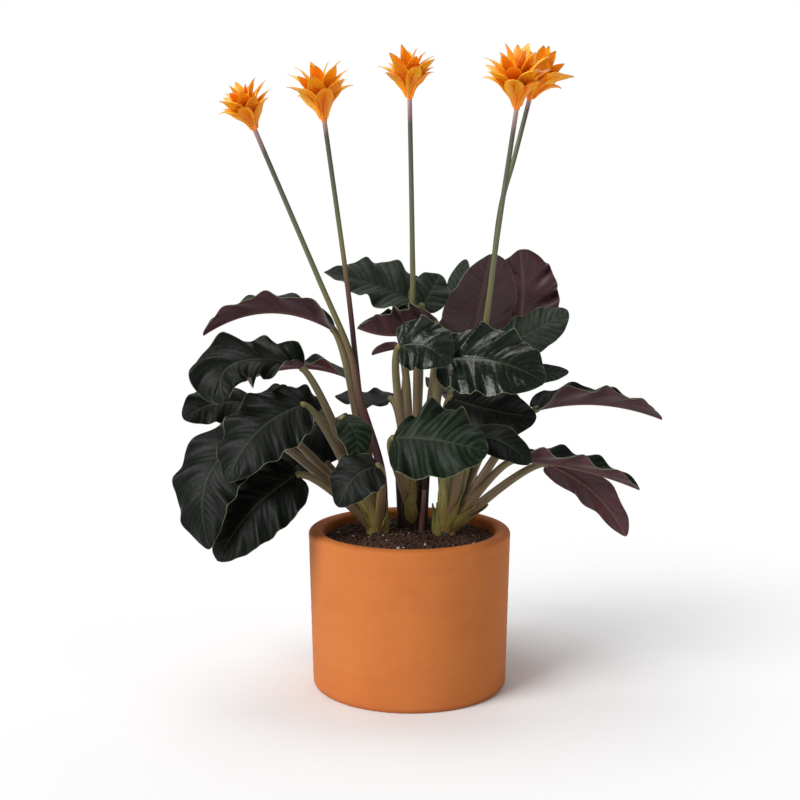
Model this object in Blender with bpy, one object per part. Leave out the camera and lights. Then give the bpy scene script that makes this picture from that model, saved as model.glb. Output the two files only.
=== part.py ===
"""Eternal flame calathea in a terracotta pot, as a Blender model.

The origin is at the centre of the pot's underside, +X to the right of the plant's
front, +Y to its back and +Z up. Sizes and places below are in millimetres.
"""

import math
from typing import NamedTuple

import bmesh
import bpy
import numpy as np

MM = 0.001
GAP = 0.3

POT_HEIGHT = 118.0
POT_RADIUS = 75.0
FOOT_RADIUS = 72.3
WALL = 11.0
POT_FLOOR = 12.0
POT_SIDES = 44
DRAIN_HOLES = 3
DRAIN_RADIUS = 6.0
DRAIN_CIRCLE = 40.0

SOIL_EDGE = 110.0
SOIL_RISE = 4.0
HOLE_DEPTH = 16.0

BLADE_THICK = 0.9
RIB_THICK = 1.3
BLADE_FOOT = 2.2
BLADE_TIP = 0.4
VEIN_SLANT = 0.22
LOBE_SWEEP = 0.3
PETIOLE_SIDES = 5
PETIOLE_ROWS = 7
PETIOLE_FOOT = 3.9
PETIOLE_TOP = 1.9
PETIOLE_BEND = 14.0
JOINT_GAP = 4 * GAP
STALK_SIDES = 6
STALK_TOP = 1.7
CROWN_SIDES = 14
CROWN_RISE = 9.0

BRACT_KEEL = 0.9
CUP_IN, CUP_UP = 0.35, 0.25
CUP_SIDES = 7


class Crown(NamedTuple):
    """Where the leaf bases of one shoot come out of the soil."""

    centre: tuple
    radius: float


class Leaf(NamedTuple):
    """One blade: its midrib from joint to tip, and how it is held.

    near and far are the halves towards the front and the back. turn tips the upper
    face to the front, fold raises each half, curl bends the halves on towards their
    margins, wave is the height and the number of the waves along a margin, and shape
    is how blunt the outline is at the joint and at the tip, less being blunter.
    """

    name: str
    crown: str
    midrib: tuple
    width: float
    turn: tuple = (0, 0)
    fold: tuple = (15, 15)
    curl: float = -15
    wave: tuple = (3.0, 3.5)
    shape: tuple = (0.42, 0.62)
    rows: int = 10
    columns: int = 6


class Stalk(NamedTuple):
    """One flower stalk, through its points from the soil or its branching up."""

    route: tuple
    foot_radius: float


class Bloom(NamedTuple):
    """One flower head on the end of a stalk."""

    name: str
    foot: tuple
    lean: tuple
    size: float
    turned: float


CROWNS = {
    "shoot_left": Crown((-22, 1), 10.5),
    "shoot_middle": Crown((4, 16), 9.0),
    "shoot_right": Crown((27, -3), 10.5),
}

LEAVES = (
    Leaf("leaf_left_arched", "shoot_left", ((-57, 24, 264), (-104, 20, 277), (-153, 14, 260)),
         20, turn=(6, 0), fold=(52, 38), curl=-10, wave=(2.2, 3.5)),
    Leaf("leaf_left_drooping", "shoot_left",
         ((-78, -8, 238), (-106, -14, 245), (-130, -24, 240), (-131, -36, 217)),
         26, turn=(8, 26), fold=(-5, 28), wave=(3.0, 3.5), shape=(0.8, 0.5)),
    Leaf("leaf_left_far", "shoot_left", ((-122, 34, 206), (-144, 26, 208), (-169, 14, 197)),
         18, turn=(40, 55), fold=(5, 5), wave=(2.0, 2.5), rows=8),
    Leaf("leaf_left_broad", "shoot_left", ((-76, -30, 214), (-104, -48, 200), (-127, -60, 164)),
         28, turn=(40, 20), fold=(0, 8), wave=(3.0, 4.0)),
    Leaf("leaf_left_behind_broad", "shoot_left", ((-66, 12, 202), (-88, 16, 213), (-114, 22, 214)),
         14, turn=(30, 30), fold=(5, 10), wave=(2.0, 2.5), rows=8),
    Leaf("leaf_left_back_long", "shoot_left", ((-45, 44, 225), (-80, 52, 232), (-128, 52, 221)),
         15, turn=(-4, -12), fold=(30, 40), curl=-20, wave=(2.5, 3.0)),
    Leaf("leaf_left_hanging", "shoot_left", ((-112, -28, 194), (-140, -42, 170), (-141, -56, 115)),
         27, turn=(30, 15), fold=(5, 5), wave=(2.5, 4.0)),
    Leaf("leaf_left_lowest", "shoot_left", ((-80, -32, 164), (-110, -42, 142), (-137, -46, 104)),
         26, turn=(55, 40), fold=(0, 5), wave=(2.5, 4.5)),
    Leaf("leaf_left_back_low", "shoot_left", ((-62, 30, 160), (-84, 42, 171), (-106, 50, 168)),
         26, turn=(45, 45), fold=(5, 5), wave=(2.0, 2.5), rows=8),
    Leaf("leaf_small_left", "shoot_left", ((-48, -40, 206), (-38, -50, 194), (-39, -54, 178)),
         13, turn=(10, 0), fold=(8, 8), wave=(1.2, 2.0), rows=7, columns=4),
    Leaf("leaf_round_front", "shoot_left", ((-22, -60, 175), (-38, -74, 170), (-49, -78, 150)),
         19, turn=(38, 20), fold=(0, 3), wave=(1.6, 3.0), rows=8),
    Leaf("leaf_front_centre", "shoot_middle", ((-12, -62, 195), (18, -78, 196), (52, -84, 189)),
         29, turn=(52, 44), fold=(0, 8), wave=(3.4, 4.0)),
    Leaf("leaf_right_glossy", "shoot_right", ((22, -28, 246), (58, -46, 247), (93, -56, 233)),
         29, turn=(44, 40), fold=(0, 12), wave=(2.8, 4.0)),
    Leaf("leaf_centre_small", "shoot_middle", ((-8, -34, 256), (10, -42, 257), (27, -46, 244)),
         20, turn=(55, 40), fold=(0, 25), wave=(2.5, 3.0), rows=8),
    Leaf("leaf_centre_rolled", "shoot_middle", ((-9, -14, 254), (-18, -18, 252), (-27, -22, 249)),
         5, turn=(-20, -20), fold=(60, 60), curl=30, wave=(0.5, 1.5), rows=5, columns=4),
    Leaf("leaf_top_centre", "shoot_middle", ((4, 34, 284), (-30, 34, 298), (-64, 32, 306)),
         27, turn=(32, 28), fold=(10, 25), wave=(2.6, 3.5), shape=(0.42, 1.0)),
    Leaf("leaf_top_folded", "shoot_middle", ((18, 3, 272), (-8, -2, 262), (-38, -6, 267)),
         20, turn=(0, 0), fold=(76, 84), curl=-10, wave=(2.0, 3.0), rows=8),
    Leaf("leaf_top_fan", "shoot_middle", ((9, 26, 281), (17, 34, 294), (23, 42, 304)),
         15, turn=(40, 40), fold=(5, 15), wave=(2.0, 2.5), rows=7, columns=4),
    Leaf("leaf_back_upright", "shoot_right", ((46, 68, 246), (55, 59, 284), (61, 44, 319)),
         36, turn=(0, 8), fold=(6, 6), wave=(1.6, 3.0)),
    Leaf("leaf_back_ruffled", "shoot_right", ((84, 86, 247), (90, 84, 285), (86, 72, 322)),
         30, turn=(-10, 0), fold=(4, 10), wave=(3.6, 4.0)),
    Leaf("leaf_right_behind", "shoot_right", ((71, 44, 250), (96, 48, 261), (122, 52, 276)),
         18, turn=(45, 50), fold=(0, 5), wave=(1.6, 3.0), rows=8),
    Leaf("leaf_back_tip", "shoot_middle", ((36, 88, 276), (40, 94, 296), (46, 98, 314)),
         9, turn=(20, 20), fold=(10, 10), wave=(0.8, 1.5), rows=6, columns=4),
    Leaf("leaf_right_long", "shoot_right", ((94, 6, 206), (140, 12, 209), (189, 14, 197)),
         20, turn=(0, 0), fold=(46, 40), curl=-10, wave=(2.5, 3.5), shape=(0.28, 0.62)),
    Leaf("leaf_right_strip", "shoot_right", ((88, 50, 224), (106, 54, 227), (124, 56, 228)),
         8, turn=(50, 50), fold=(10, 10), wave=(0.8, 1.5), rows=6, columns=4),
    Leaf("leaf_right_lower", "shoot_right", ((74, -40, 176), (115, -50, 172), (160, -58, 158)),
         18, turn=(0, 0), fold=(40, 35), curl=-10, wave=(2.5, 3.5)),
    Leaf("leaf_right_hanging", "shoot_right", ((100, -10, 168), (132, -18, 150), (157, -26, 117)),
         14, turn=(-80, -75), fold=(10, 20), wave=(1.6, 3.0)),
    Leaf("leaf_right_shaded", "shoot_right", ((30, -6, 216), (58, -20, 209), (91, -24, 204)),
         23, turn=(52, 48), fold=(0, 5), wave=(1.6, 3.0), rows=8),
    Leaf("leaf_centre_pointed", "shoot_right", ((45, -44, 194), (66, -56, 190), (83, -62, 177)),
         12, turn=(55, 50), fold=(5, 5), wave=(1.0, 2.0), rows=7, columns=4),
    Leaf("leaf_back_shaded", "shoot_middle", ((-14, 48, 208), (-32, 58, 207), (-58, 62, 208)),
         12, turn=(25, 20), fold=(5, 10), wave=(1.4, 2.5), rows=7, columns=4),
    Leaf("leaf_rear_upper", "shoot_right", ((33, 68, 210), (37, 98, 214), (37, 130, 194)),
         23, turn=(0, 0), fold=(12, 12), wave=(2.4, 3.5), rows=9),
    Leaf("leaf_rear_left", "shoot_left", ((-52, 68, 180), (-76, 98, 183), (-92, 130, 160)),
         23, turn=(0, 0), fold=(12, 12), wave=(2.4, 3.5), rows=9),
    Leaf("leaf_rear_low", "shoot_middle", ((8, 58, 160), (14, 88, 164), (20, 122, 146)),
         22, turn=(0, 0), fold=(10, 10), wave=(2.4, 3.5), rows=9),
)

STALKS = {
    "shoot_left": (
        Stalk(((-20, -3, 116), (-21, -8, 162), (-36, -6, 214), (-44, -4, 250), (-66, -6, 303),
               (-110, -10, 408)), 3.8),
        Stalk(((-37, -5, 218), (-40, 2, 246), (-46, 5, 301), (-62, 12, 417)), 2.3),
    ),
    "shoot_middle": (
        Stalk(((2, 16, 116), (-6, 20, 160), (-3, 21, 226), (2, 20, 285), (2, 20, 330),
               (0, 20, 433)), 3.4),
    ),
    "shoot_right": (
        Stalk(((30, 0, 116), (38, 8, 160), (48, 6, 222), (56, 4, 271), (63, 0, 330),
               (76, -5, 424)), 3.6),
        Stalk(((59, 3, 292), (66, 8, 352), (76, 12, 389), (87, 15, 432)), 2.0),
    ),
}

BLOOMS = (
    Bloom("bloom_far_left", (-110, -10, 408), (-0.36, -0.1, 1.0), 0.93, 14),
    Bloom("bloom_left", (-62, 12, 417), (-0.12, 0.0, 1.0), 1.12, 40),
    Bloom("bloom_middle", (0, 20, 433), (-0.05, 0.0, 1.0), 0.98, 31),
    Bloom("bloom_right_front", (76, -5, 424), (-0.04, -0.3, 1.0), 1.18, 0),
    Bloom("bloom_right_back", (87, 15, 432), (0.40, 0.25, 1.0), 1.03, 56),
)

BLOOM_CORE = ((1.9, 0.0), (4.6, 4.5), (7.2, 11.0), (6.6, 19.0), (3.4, 26.0))
BRACT_WIDTHS = (0.3, 0.8, 0.9, 0.08)
BRACT_RINGS = (
    (5, 0, ((4.4, 7.0), (10.0, 13.5), (17.0, 18.5), (24.0, 18.0)), 6.4),
    (5, 36, ((3.4, 12.0), (8.0, 19.5), (14.0, 26.0), (20.5, 28.5)), 6.0),
    (3, 12, ((1.2, 18.0), (4.0, 25.0), (7.0, 32.0), (10.5, 37.0)), 5.0),
)


def material(name, colour, roughness):
    """A plain finish."""
    made = bpy.data.materials.new(name)
    made.use_nodes = True
    shader = made.node_tree.nodes["Principled BSDF"]
    shader.inputs["Base Color"].default_value = (*colour, 1.0)
    shader.inputs["Roughness"].default_value = roughness
    return made


def mesh_object(name, points, faces, finish):
    """An object made of points in millimetres and their faces."""
    mesh = bpy.data.meshes.new(name)
    mesh.from_pydata((np.asarray(points) * MM).tolist(), [], faces)
    mesh.validate()
    mesh.shade_smooth()
    mesh.set_sharp_from_angle(angle=math.radians(40))
    made = bpy.data.objects.new(name, mesh)
    made.data.materials.append(finish)
    bpy.context.scene.collection.objects.link(made)
    return made


def unit(vectors):
    """The vectors at length one."""
    vectors = np.asarray(vectors, float)
    return vectors / np.linalg.norm(vectors, axis=-1, keepdims=True)


def curve_through(knots, count):
    """Points evenly along the polynomial that passes through the knots."""
    knots = np.asarray(knots, float)
    steps = np.linalg.norm(np.diff(knots, axis=0), axis=1)
    at = np.concatenate([[0.0], np.cumsum(steps)]) / steps.sum()
    along = np.linspace(0.0, 1.0, count)
    points = np.zeros((count, knots.shape[1]))
    for i, knot in enumerate(knots):
        weight = np.ones(count)
        for j in range(len(knots)):
            if j != i:
                weight *= (along - at[j]) / (at[i] - at[j])
        points += weight[:, None] * knot
    return points


def spline_through(knots, count):
    """Points evenly along a smooth curve of cubic pieces through the knots."""
    knots = np.asarray(knots, float)
    padded = np.vstack([2 * knots[0] - knots[1], knots, 2 * knots[-1] - knots[-2]])
    at = np.linspace(0.0, len(knots) - 1.0, count)
    piece = np.minimum(at.astype(int), len(knots) - 2)
    t = (at - piece)[:, None]
    a, b, c, d = (padded[piece + k] for k in range(4))
    return 0.5 * (2 * b + (c - a) * t + (2 * a - 5 * b + 4 * c - d) * t**2
                  + (3 * b - a - 3 * c + d) * t**3)


def lathe(name, profile, sides, finish):
    """A body turned about Z from a closed run of (radius, height) points, axis to axis."""
    angles = np.arange(sides) * 2 * math.pi / sides
    rings = profile[1:-1]
    points = [(0.0, 0.0, profile[0][1])]
    for radius, height in rings:
        points += [(radius * math.cos(a), radius * math.sin(a), height) for a in angles]
    points.append((0.0, 0.0, profile[-1][1]))
    last = len(points) - 1
    faces = []
    for k in range(sides):
        n = (k + 1) % sides
        faces.append((0, 1 + n, 1 + k))
        for ring in range(len(rings) - 1):
            low, high = 1 + ring * sides, 1 + (ring + 1) * sides
            faces.append((low + k, low + n, high + n, high + k))
        top = 1 + (len(rings) - 1) * sides
        faces.append((last, top + k, top + n))
    return mesh_object(name, points, faces, finish)


def tube(name, centres, radii, sides, finish):
    """A closed round body along a path, with a radius at each of its points."""
    ahead = unit(np.gradient(centres, axis=0))
    aside = np.array([0.31, -0.95, 0.05])
    across = unit(aside - (ahead @ aside)[:, None] * ahead)
    other = np.cross(ahead, across)
    angles = np.arange(sides) * 2 * math.pi / sides
    rings = (centres[:, None, :]
             + radii[:, None, None] * (np.cos(angles)[None, :, None] * across[:, None, :]
                                       + np.sin(angles)[None, :, None] * other[:, None, :]))
    faces = [tuple(reversed(range(sides)))]
    for row in range(len(centres) - 1):
        for k in range(sides):
            n = (k + 1) % sides
            low, high = row * sides, (row + 1) * sides
            faces.append((low + k, low + n, high + n, high + k))
    top = (len(centres) - 1) * sides
    faces.append(tuple(range(top, top + sides)))
    return mesh_object(name, rings.reshape(-1, 3), faces, finish)


def sheet(name, upper, lower, flipped, finish):
    """A closed thin body between two grids of points, split alike on both faces."""
    rows, columns = upper.shape[0], upper.shape[1]
    count = rows * columns
    index = np.arange(count).reshape(rows, columns)
    faces = []
    for i in range(rows - 1):
        for j in range(columns - 1):
            a, b = index[i, j], index[i, j + 1]
            c, d = index[i + 1, j + 1], index[i + 1, j]
            faces += [(a, c, b), (a, d, c)]
            faces += [(count + a, count + b, count + c), (count + a, count + c, count + d)]
    loop = ([*index[0, :-1]] + [*index[:-1, -1]] + [*index[-1, :0:-1]] + [*index[:0:-1, 0]])
    for here, after in zip(loop, loop[1:] + loop[:1]):
        faces += [(here, after, count + after), (here, count + after, count + here)]
    if flipped:
        faces = [tuple(reversed(face)) for face in faces]
    faces = [tuple(int(k) for k in face) for face in faces]
    points = np.concatenate([upper.reshape(-1, 3), lower.reshape(-1, 3)])
    return mesh_object(name, points, faces, finish)


def grid_normals(points):
    """Unit normals of a grid of points."""
    return unit(np.cross(np.gradient(points, axis=0), np.gradient(points, axis=1)))


def blade_frame(leaf, rows):
    """The midrib's points with, at each, the way ahead, to the front half and up."""
    rib = curve_through(leaf.midrib, rows + 1)
    ahead = unit(np.gradient(rib, axis=0))
    chord = rib[-1] - rib[0]
    front = np.array([chord[1], -chord[0], 0.0])
    if front[1] > 0:
        front = -front
    front = unit(front - (ahead @ front)[:, None] * ahead)
    above = np.cross(ahead, front)
    if above[:, 2].sum() < 0:
        above = -above
    return rib, ahead, front, above


def blade_surface(leaf, rows, columns):
    """The middle surface of a blade, as a grid of points from joint to tip."""
    rib, ahead, front, above = blade_frame(leaf, rows)
    u = np.linspace(0.0, 1.0, rows + 1)[:, None, None]
    v = np.linspace(-1.0, 1.0, columns + 1)[None, :, None]
    start, end = leaf.shape
    peak = start / (start + end)
    outline = u**start * (1 - u)**end / (peak**start * (1 - peak)**end)
    half = BLADE_FOOT * (1 - u) + BLADE_TIP * u + (leaf.width - BLADE_FOOT * (1 - u)) * outline
    turn = np.radians(leaf.turn[0] + (leaf.turn[1] - leaf.turn[0]) * u)
    front, above, ahead = front[:, None, :], above[:, None, :], ahead[:, None, :]
    outward = front * np.cos(turn) - above * np.sin(turn)
    upward = above * np.cos(turn) + front * np.sin(turn)
    side = np.where(v >= 0, 1.0, -1.0)
    reach = np.abs(v)
    fold = np.radians(np.where(v >= 0, leaf.fold[0], leaf.fold[1])) * np.minimum(1.0, 6 * u + 0.15)
    curl = math.radians(leaf.curl) + 1e-4
    run = (np.sin(fold + curl * reach) - np.sin(fold)) / curl
    rise = (np.cos(fold) - np.cos(fold + curl * reach)) / curl
    points = rib[:, None, :] + half * (side * outward * run + upward * rise)
    height, count = leaf.wave
    swing = np.sin(2 * math.pi * count * (u - VEIN_SLANT * reach) + 1.2 * side)
    angle = fold + curl * reach
    lift = upward * np.cos(angle) - side * outward * np.sin(angle)
    points = points + lift * height * swing * reach**1.6 * outline
    return points - ahead * LOBE_SWEEP * leaf.width * reach**2 * outline * (1 - u)**4


def blade(leaf, finish):
    """One leaf blade, with its midrib standing out below."""
    points = blade_surface(leaf, leaf.rows, leaf.columns)
    normals = grid_normals(points)
    _, _, _, above = blade_frame(leaf, leaf.rows)
    flipped = bool((normals[1:-1, leaf.columns // 2] * above[1:-1]).sum() < 0)
    if flipped:
        normals = -normals
    u = np.linspace(0.0, 1.0, leaf.rows + 1)[:, None, None]
    v = np.linspace(-1.0, 1.0, leaf.columns + 1)[None, :, None]
    rib = RIB_THICK * (1 - u) * (np.abs(v) < 0.01)
    upper = points + normals * BLADE_THICK / 2
    lower = points - normals * (BLADE_THICK / 2 + rib)
    return sheet(leaf.name, upper, lower, flipped, finish)


def petiole(leaf, finish):
    """The leaf's stalk, from inside its crown to just short of the blade."""
    crown = CROWNS[leaf.crown]
    rib, ahead, _, _ = blade_frame(leaf, leaf.rows)
    joint = rib[0] - ahead[0] * JOINT_GAP
    start = np.array([*crown.centre, SOIL_EDGE + SOIL_RISE + CROWN_RISE * 0.4])
    outward = (joint - start) * (1.0, 1.0, 0.0)
    start = start + outward / max(1.0, np.linalg.norm(outward)) * crown.radius * 0.35
    span = np.linalg.norm(joint - start)
    one = start + (joint - start) * 0.35 + (0.0, 0.0, span * 0.06)
    two = joint - ahead[0] * min(PETIOLE_BEND, span * 0.14)
    t = 1 - (1 - np.linspace(0.0, 1.0, PETIOLE_ROWS)[:, None])**1.6
    centres = (1 - t)**3 * start + 3 * (1 - t)**2 * t * one + 3 * (1 - t) * t**2 * two + t**3 * joint
    radii = PETIOLE_FOOT + (PETIOLE_TOP - PETIOLE_FOOT) * t[:, 0]**0.8
    return tube("petiole", centres, radii, PETIOLE_SIDES, finish)


def drop_scraps(mesh):
    """Leaves only the largest shell of a mesh: sealed pockets are filled, scraps dropped."""
    shape = bmesh.new()
    shape.from_mesh(mesh)
    loose, shells = set(shape.faces), []
    while loose:
        shell, edge = set(), [loose.pop()]
        while edge:
            face = edge.pop()
            shell.add(face)
            near = {other for side in face.edges for other in side.link_faces} & loose
            loose -= near
            edge += near
        shells.append(shell)
    shells.sort(key=lambda shell: sum(face.calc_area() for face in shell))
    scraps = [face for shell in shells[:-1] for face in shell]
    bmesh.ops.delete(shape, geom=scraps, context="FACES")
    shape.to_mesh(mesh)
    shape.free()


def fuse(name, pieces):
    """One body out of pieces that run into each other."""
    body = pieces[0]
    helpers = bpy.data.collections.new("fused")
    bpy.context.scene.collection.children.link(helpers)
    for piece in pieces[1:]:
        helpers.objects.link(piece)
        bpy.context.scene.collection.objects.unlink(piece)
    union = body.modifiers.new("union", "BOOLEAN")
    union.operation = "UNION"
    union.operand_type = "COLLECTION"
    union.collection = helpers
    union.solver = "MANIFOLD"
    graph = bpy.context.evaluated_depsgraph_get()
    whole = bpy.data.meshes.new_from_object(body.evaluated_get(graph))
    drop_scraps(whole)
    body.modifiers.clear()
    body.data = whole
    for piece in pieces[1:]:
        bpy.data.objects.remove(piece)
    bpy.data.collections.remove(helpers)
    body.name = name
    return body


def flower_stalk(stalk, finish):
    """A flower stalk that thins towards its head."""
    count = 3 * len(stalk.route)
    centres = spline_through(stalk.route, count)
    along = np.linspace(0.0, 1.0, count)
    radii = STALK_TOP + (stalk.foot_radius - STALK_TOP) * (1 - along)**1.3
    return tube("stalk", centres, radii, STALK_SIDES, finish)


def shoot(name, crown, finish):
    """A crown in the soil with all the leaf and flower stalks that rise from it."""
    ground = SOIL_EDGE + SOIL_RISE
    heights = (ground - HOLE_DEPTH, ground, ground + CROWN_RISE)
    centres = np.array([[*crown.centre, z] for z in heights])
    radii = crown.radius * np.array([1.0, 1.0, 0.8])
    pieces = [tube(name, centres, radii, CROWN_SIDES, finish)]
    pieces += [petiole(leaf, finish) for leaf in LEAVES if leaf.crown == name]
    pieces += [flower_stalk(stalk, finish) for stalk in STALKS[name]]
    return fuse(name, pieces)


def bract(spine, widths, round_way, axis, out, finish):
    """One pointed bract: a keeled blade, three points to each row of it."""
    ahead = unit(np.gradient(spine, axis=0))
    below = np.cross(round_way, ahead)
    rows, w = len(spine), widths[:, None]
    cup = (axis * CUP_UP - out * CUP_IN) * w
    edges = (spine - round_way * w + cup, spine + below * BRACT_KEEL * (0.4 + w / w.max()),
             spine + round_way * w + cup)
    points = np.stack(edges, axis=1).reshape(-1, 3)
    faces = [(2, 1, 0), tuple(3 * (rows - 1) + k for k in range(3))]
    for row in range(rows - 1):
        for k in range(3):
            n = (k + 1) % 3
            low, high = 3 * row, 3 * (row + 1)
            faces.append((low + k, low + n, high + n, high + k))
    return mesh_object("bract", points, faces, finish)


def bloom(head, finish):
    """A flower head: rings of pointed bracts that flare from one cup."""
    axis = unit(np.array(head.lean, float))
    aside = unit(np.cross(axis, (0.0, 1.0, 0.0)))
    behind = np.cross(axis, aside)
    foot = np.array(head.foot, float) + axis * 3 * GAP
    core = np.array(BLOOM_CORE) * head.size
    pieces = [tube(head.name, foot + axis * core[:, 1:], core[:, 0], CUP_SIDES, finish)]
    for count, offset, shape, width in BRACT_RINGS:
        path = curve_through(shape, len(BRACT_WIDTHS)) * head.size
        widths = np.array(BRACT_WIDTHS) * width * head.size
        for k in range(count):
            uneven = math.sin(2.4 * k + 0.7 * offset + head.turned)
            angle = math.radians(head.turned + offset + 360.0 * k / count + 6.0 * uneven)
            out = aside * math.cos(angle) + behind * math.sin(angle)
            grown = path * (1.0 + 0.07 * uneven)
            spine = foot + out * grown[:, :1] + axis * grown[:, 1:]
            pieces.append(bract(spine, widths, np.cross(axis, out), axis, out, finish))
    return fuse(head.name, pieces)


def round_cutter(name, centre, radius, low, high, sides):
    """An upright cylinder that cuts a hole."""
    profile = ((0, low), (radius, low), (radius, high), (0, high))
    cutter = lathe(name, profile, sides, bpy.data.materials[0])
    cutter.location = (centre[0] * MM, centre[1] * MM, 0.0)
    cutter.hide_render = True
    cutter.display_type = "WIRE"
    return cutter


def cut(body, cutter):
    """Takes the cutter's shape out of the body."""
    modifier = body.modifiers.new(cutter.name, "BOOLEAN")
    modifier.operation = "DIFFERENCE"
    modifier.object = cutter


def pot(finish):
    """The thrown pot: straight sides that widen a little, a round lip and drain holes."""
    inner = POT_RADIUS - WALL
    profile = (
        (0, 0),
        (FOOT_RADIUS - 2.2, 0),
        (FOOT_RADIUS, 2.8),
        (POT_RADIUS, POT_HEIGHT - 5.0),
        (POT_RADIUS - 0.4, POT_HEIGHT - 2.4),
        (POT_RADIUS - 1.8, POT_HEIGHT - 0.6),
        (POT_RADIUS - 4.0, POT_HEIGHT),
        (POT_RADIUS - 7.2, POT_HEIGHT - 0.3),
        (inner + 1.2, POT_HEIGHT - 1.8),
        (inner, POT_HEIGHT - 4.6),
        (inner - 1.2, POT_FLOOR + 4.0),
        (inner - 4.5, POT_FLOOR),
        (0, POT_FLOOR),
    )
    body = lathe("pot", profile, POT_SIDES, finish)
    for k in range(DRAIN_HOLES):
        angle = 2 * math.pi * (k + 0.25) / DRAIN_HOLES
        centre = (DRAIN_CIRCLE * math.cos(angle), DRAIN_CIRCLE * math.sin(angle))
        cut(body, round_cutter(f"drain_{k}", centre, DRAIN_RADIUS, -5.0, POT_FLOOR + 5.0, 16))
    return body


def soil(finish):
    """The potting soil, a little heaped, with a plain hole for each stem."""
    inner = POT_RADIUS - WALL - GAP
    profile = (
        (0, POT_FLOOR + GAP),
        (inner - 5.0, POT_FLOOR + GAP),
        (inner - 1.4, POT_FLOOR + 4.5),
        (inner - 0.2, SOIL_EDGE - 1.0),
        (inner - 1.6, SOIL_EDGE + 0.4),
        (inner * 0.8, SOIL_EDGE + SOIL_RISE * 0.45),
        (inner * 0.45, SOIL_EDGE + SOIL_RISE * 0.9),
        (0, SOIL_EDGE + SOIL_RISE),
    )
    body = lathe("soil", profile, 36, finish)
    top = SOIL_EDGE + SOIL_RISE + CROWN_RISE
    bottom = SOIL_EDGE + SOIL_RISE - HOLE_DEPTH - GAP
    for name, crown in CROWNS.items():
        cut(body, round_cutter(f"hole_{name}", crown.centre, crown.radius + GAP, bottom, top, 20))
    return body


def main():
    """Builds the plant in its pot."""
    for old in list(bpy.data.objects):
        bpy.data.objects.remove(old)
    terracotta = material("terracotta", (0.60, 0.19, 0.065), 0.75)
    earth = material("earth", (0.030, 0.018, 0.012), 0.95)
    pot(terracotta)
    soil(earth)
    for name, crown in CROWNS.items():
        shoot(name, crown, material(f"{name}_green", (0.16, 0.12, 0.06), 0.5))
    for leaf in LEAVES:
        blade(leaf, material(f"{leaf.name}_green", (0.018, 0.040, 0.024), 0.4))
    for head in BLOOMS:
        bloom(head, material(f"{head.name}_orange", (0.90, 0.28, 0.02), 0.5))


main()
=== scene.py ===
"""Looks of an eternal flame calathea in its terracotta pot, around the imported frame.

Sizes and places of the pieces are in millimetres in the frame's own axes: the origin is at
the centre of the pot's underside, +X to the right of the plant's front, +Y to its back and
+Z up. Each surface is worked out as a whole numpy array and turned into metres at the end.
"""

import logging
import math
from dataclasses import dataclass, field
from enum import Enum
from itertools import combinations
from typing import Any, Sequence

import bpy
import numpy as np
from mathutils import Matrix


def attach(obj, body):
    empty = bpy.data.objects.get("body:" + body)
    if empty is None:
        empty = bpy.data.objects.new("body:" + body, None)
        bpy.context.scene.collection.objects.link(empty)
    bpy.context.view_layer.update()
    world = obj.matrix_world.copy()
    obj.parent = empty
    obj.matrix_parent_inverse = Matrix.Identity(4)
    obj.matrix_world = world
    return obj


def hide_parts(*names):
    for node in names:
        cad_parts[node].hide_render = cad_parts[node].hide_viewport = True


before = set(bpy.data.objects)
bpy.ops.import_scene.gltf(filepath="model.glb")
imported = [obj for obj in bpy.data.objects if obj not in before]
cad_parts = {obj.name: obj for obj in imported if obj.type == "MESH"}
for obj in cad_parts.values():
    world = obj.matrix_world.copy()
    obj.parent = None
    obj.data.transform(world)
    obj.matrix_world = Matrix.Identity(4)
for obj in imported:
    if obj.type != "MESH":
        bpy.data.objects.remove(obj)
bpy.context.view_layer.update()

Array = np.ndarray
Pair = tuple[float, float]
Point = tuple[float, float, float]
Colour = Point
Socket = Any

LOG = logging.getLogger("calathea")
MM = 0.001
BODY = "root"
MAP_NAME = "growth"
SHARP_ANGLE = math.radians(50)
HASH_WAY = np.array([127.1, 311.7, 74.7])
HASH_SPREAD = 43758.5453
SEED_STEP = 17.31
SIDE_HINT = np.array([0.31, -0.95, 0.05])
VEIN_SLANT = 0.22
BLACK = (0.0, 0.0, 0.0)


def unit(vectors: Array) -> Array:
    """Returns the vectors at length one."""
    return vectors / np.linalg.norm(vectors, axis=-1, keepdims=True)


def ease(value: Array, low: float, high: float) -> Array:
    """Rises smoothly from 0 at low to 1 at high: 3t² - 2t³ with t the share of the way.

    Args:
        value: where to read it.
        low: where the rise starts.
        high: where it ends.

    Returns:
        The eased share, from 0 to 1.
    """
    t = np.clip((value - low) / (high - low), 0.0, 1.0)
    return t * t * (3 - 2 * t)


def noise(points: Array, size: float, seed: int) -> Array:
    """Smooth noise: hashed values at the corners of cubes, blended with eased weights.

    Args:
        points: places in millimetres, in the last axis.
        size: side of a cube in millimetres.
        seed: which noise.

    Returns:
        Values from -1 to 1, one for each point.
    """
    place = points / size + SEED_STEP * seed
    cell = np.floor(place)
    part = place - cell
    part = part * part * (3 - 2 * part)
    total = np.zeros(points.shape[:-1])
    for corner in np.ndindex(2, 2, 2):
        weight = np.prod(np.where(corner, part, 1 - part), axis=-1)
        mixed = np.sin((cell + corner) @ HASH_WAY) * HASH_SPREAD
        total += weight * (mixed - np.floor(mixed))
    return 2 * total - 1


def shares(points: Array) -> Array:
    """Returns each point's share of the way along the straight steps between them."""
    steps = np.linalg.norm(np.diff(points, axis=0), axis=1)
    return np.concatenate([[0.0], np.cumsum(steps)]) / steps.sum()


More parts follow.
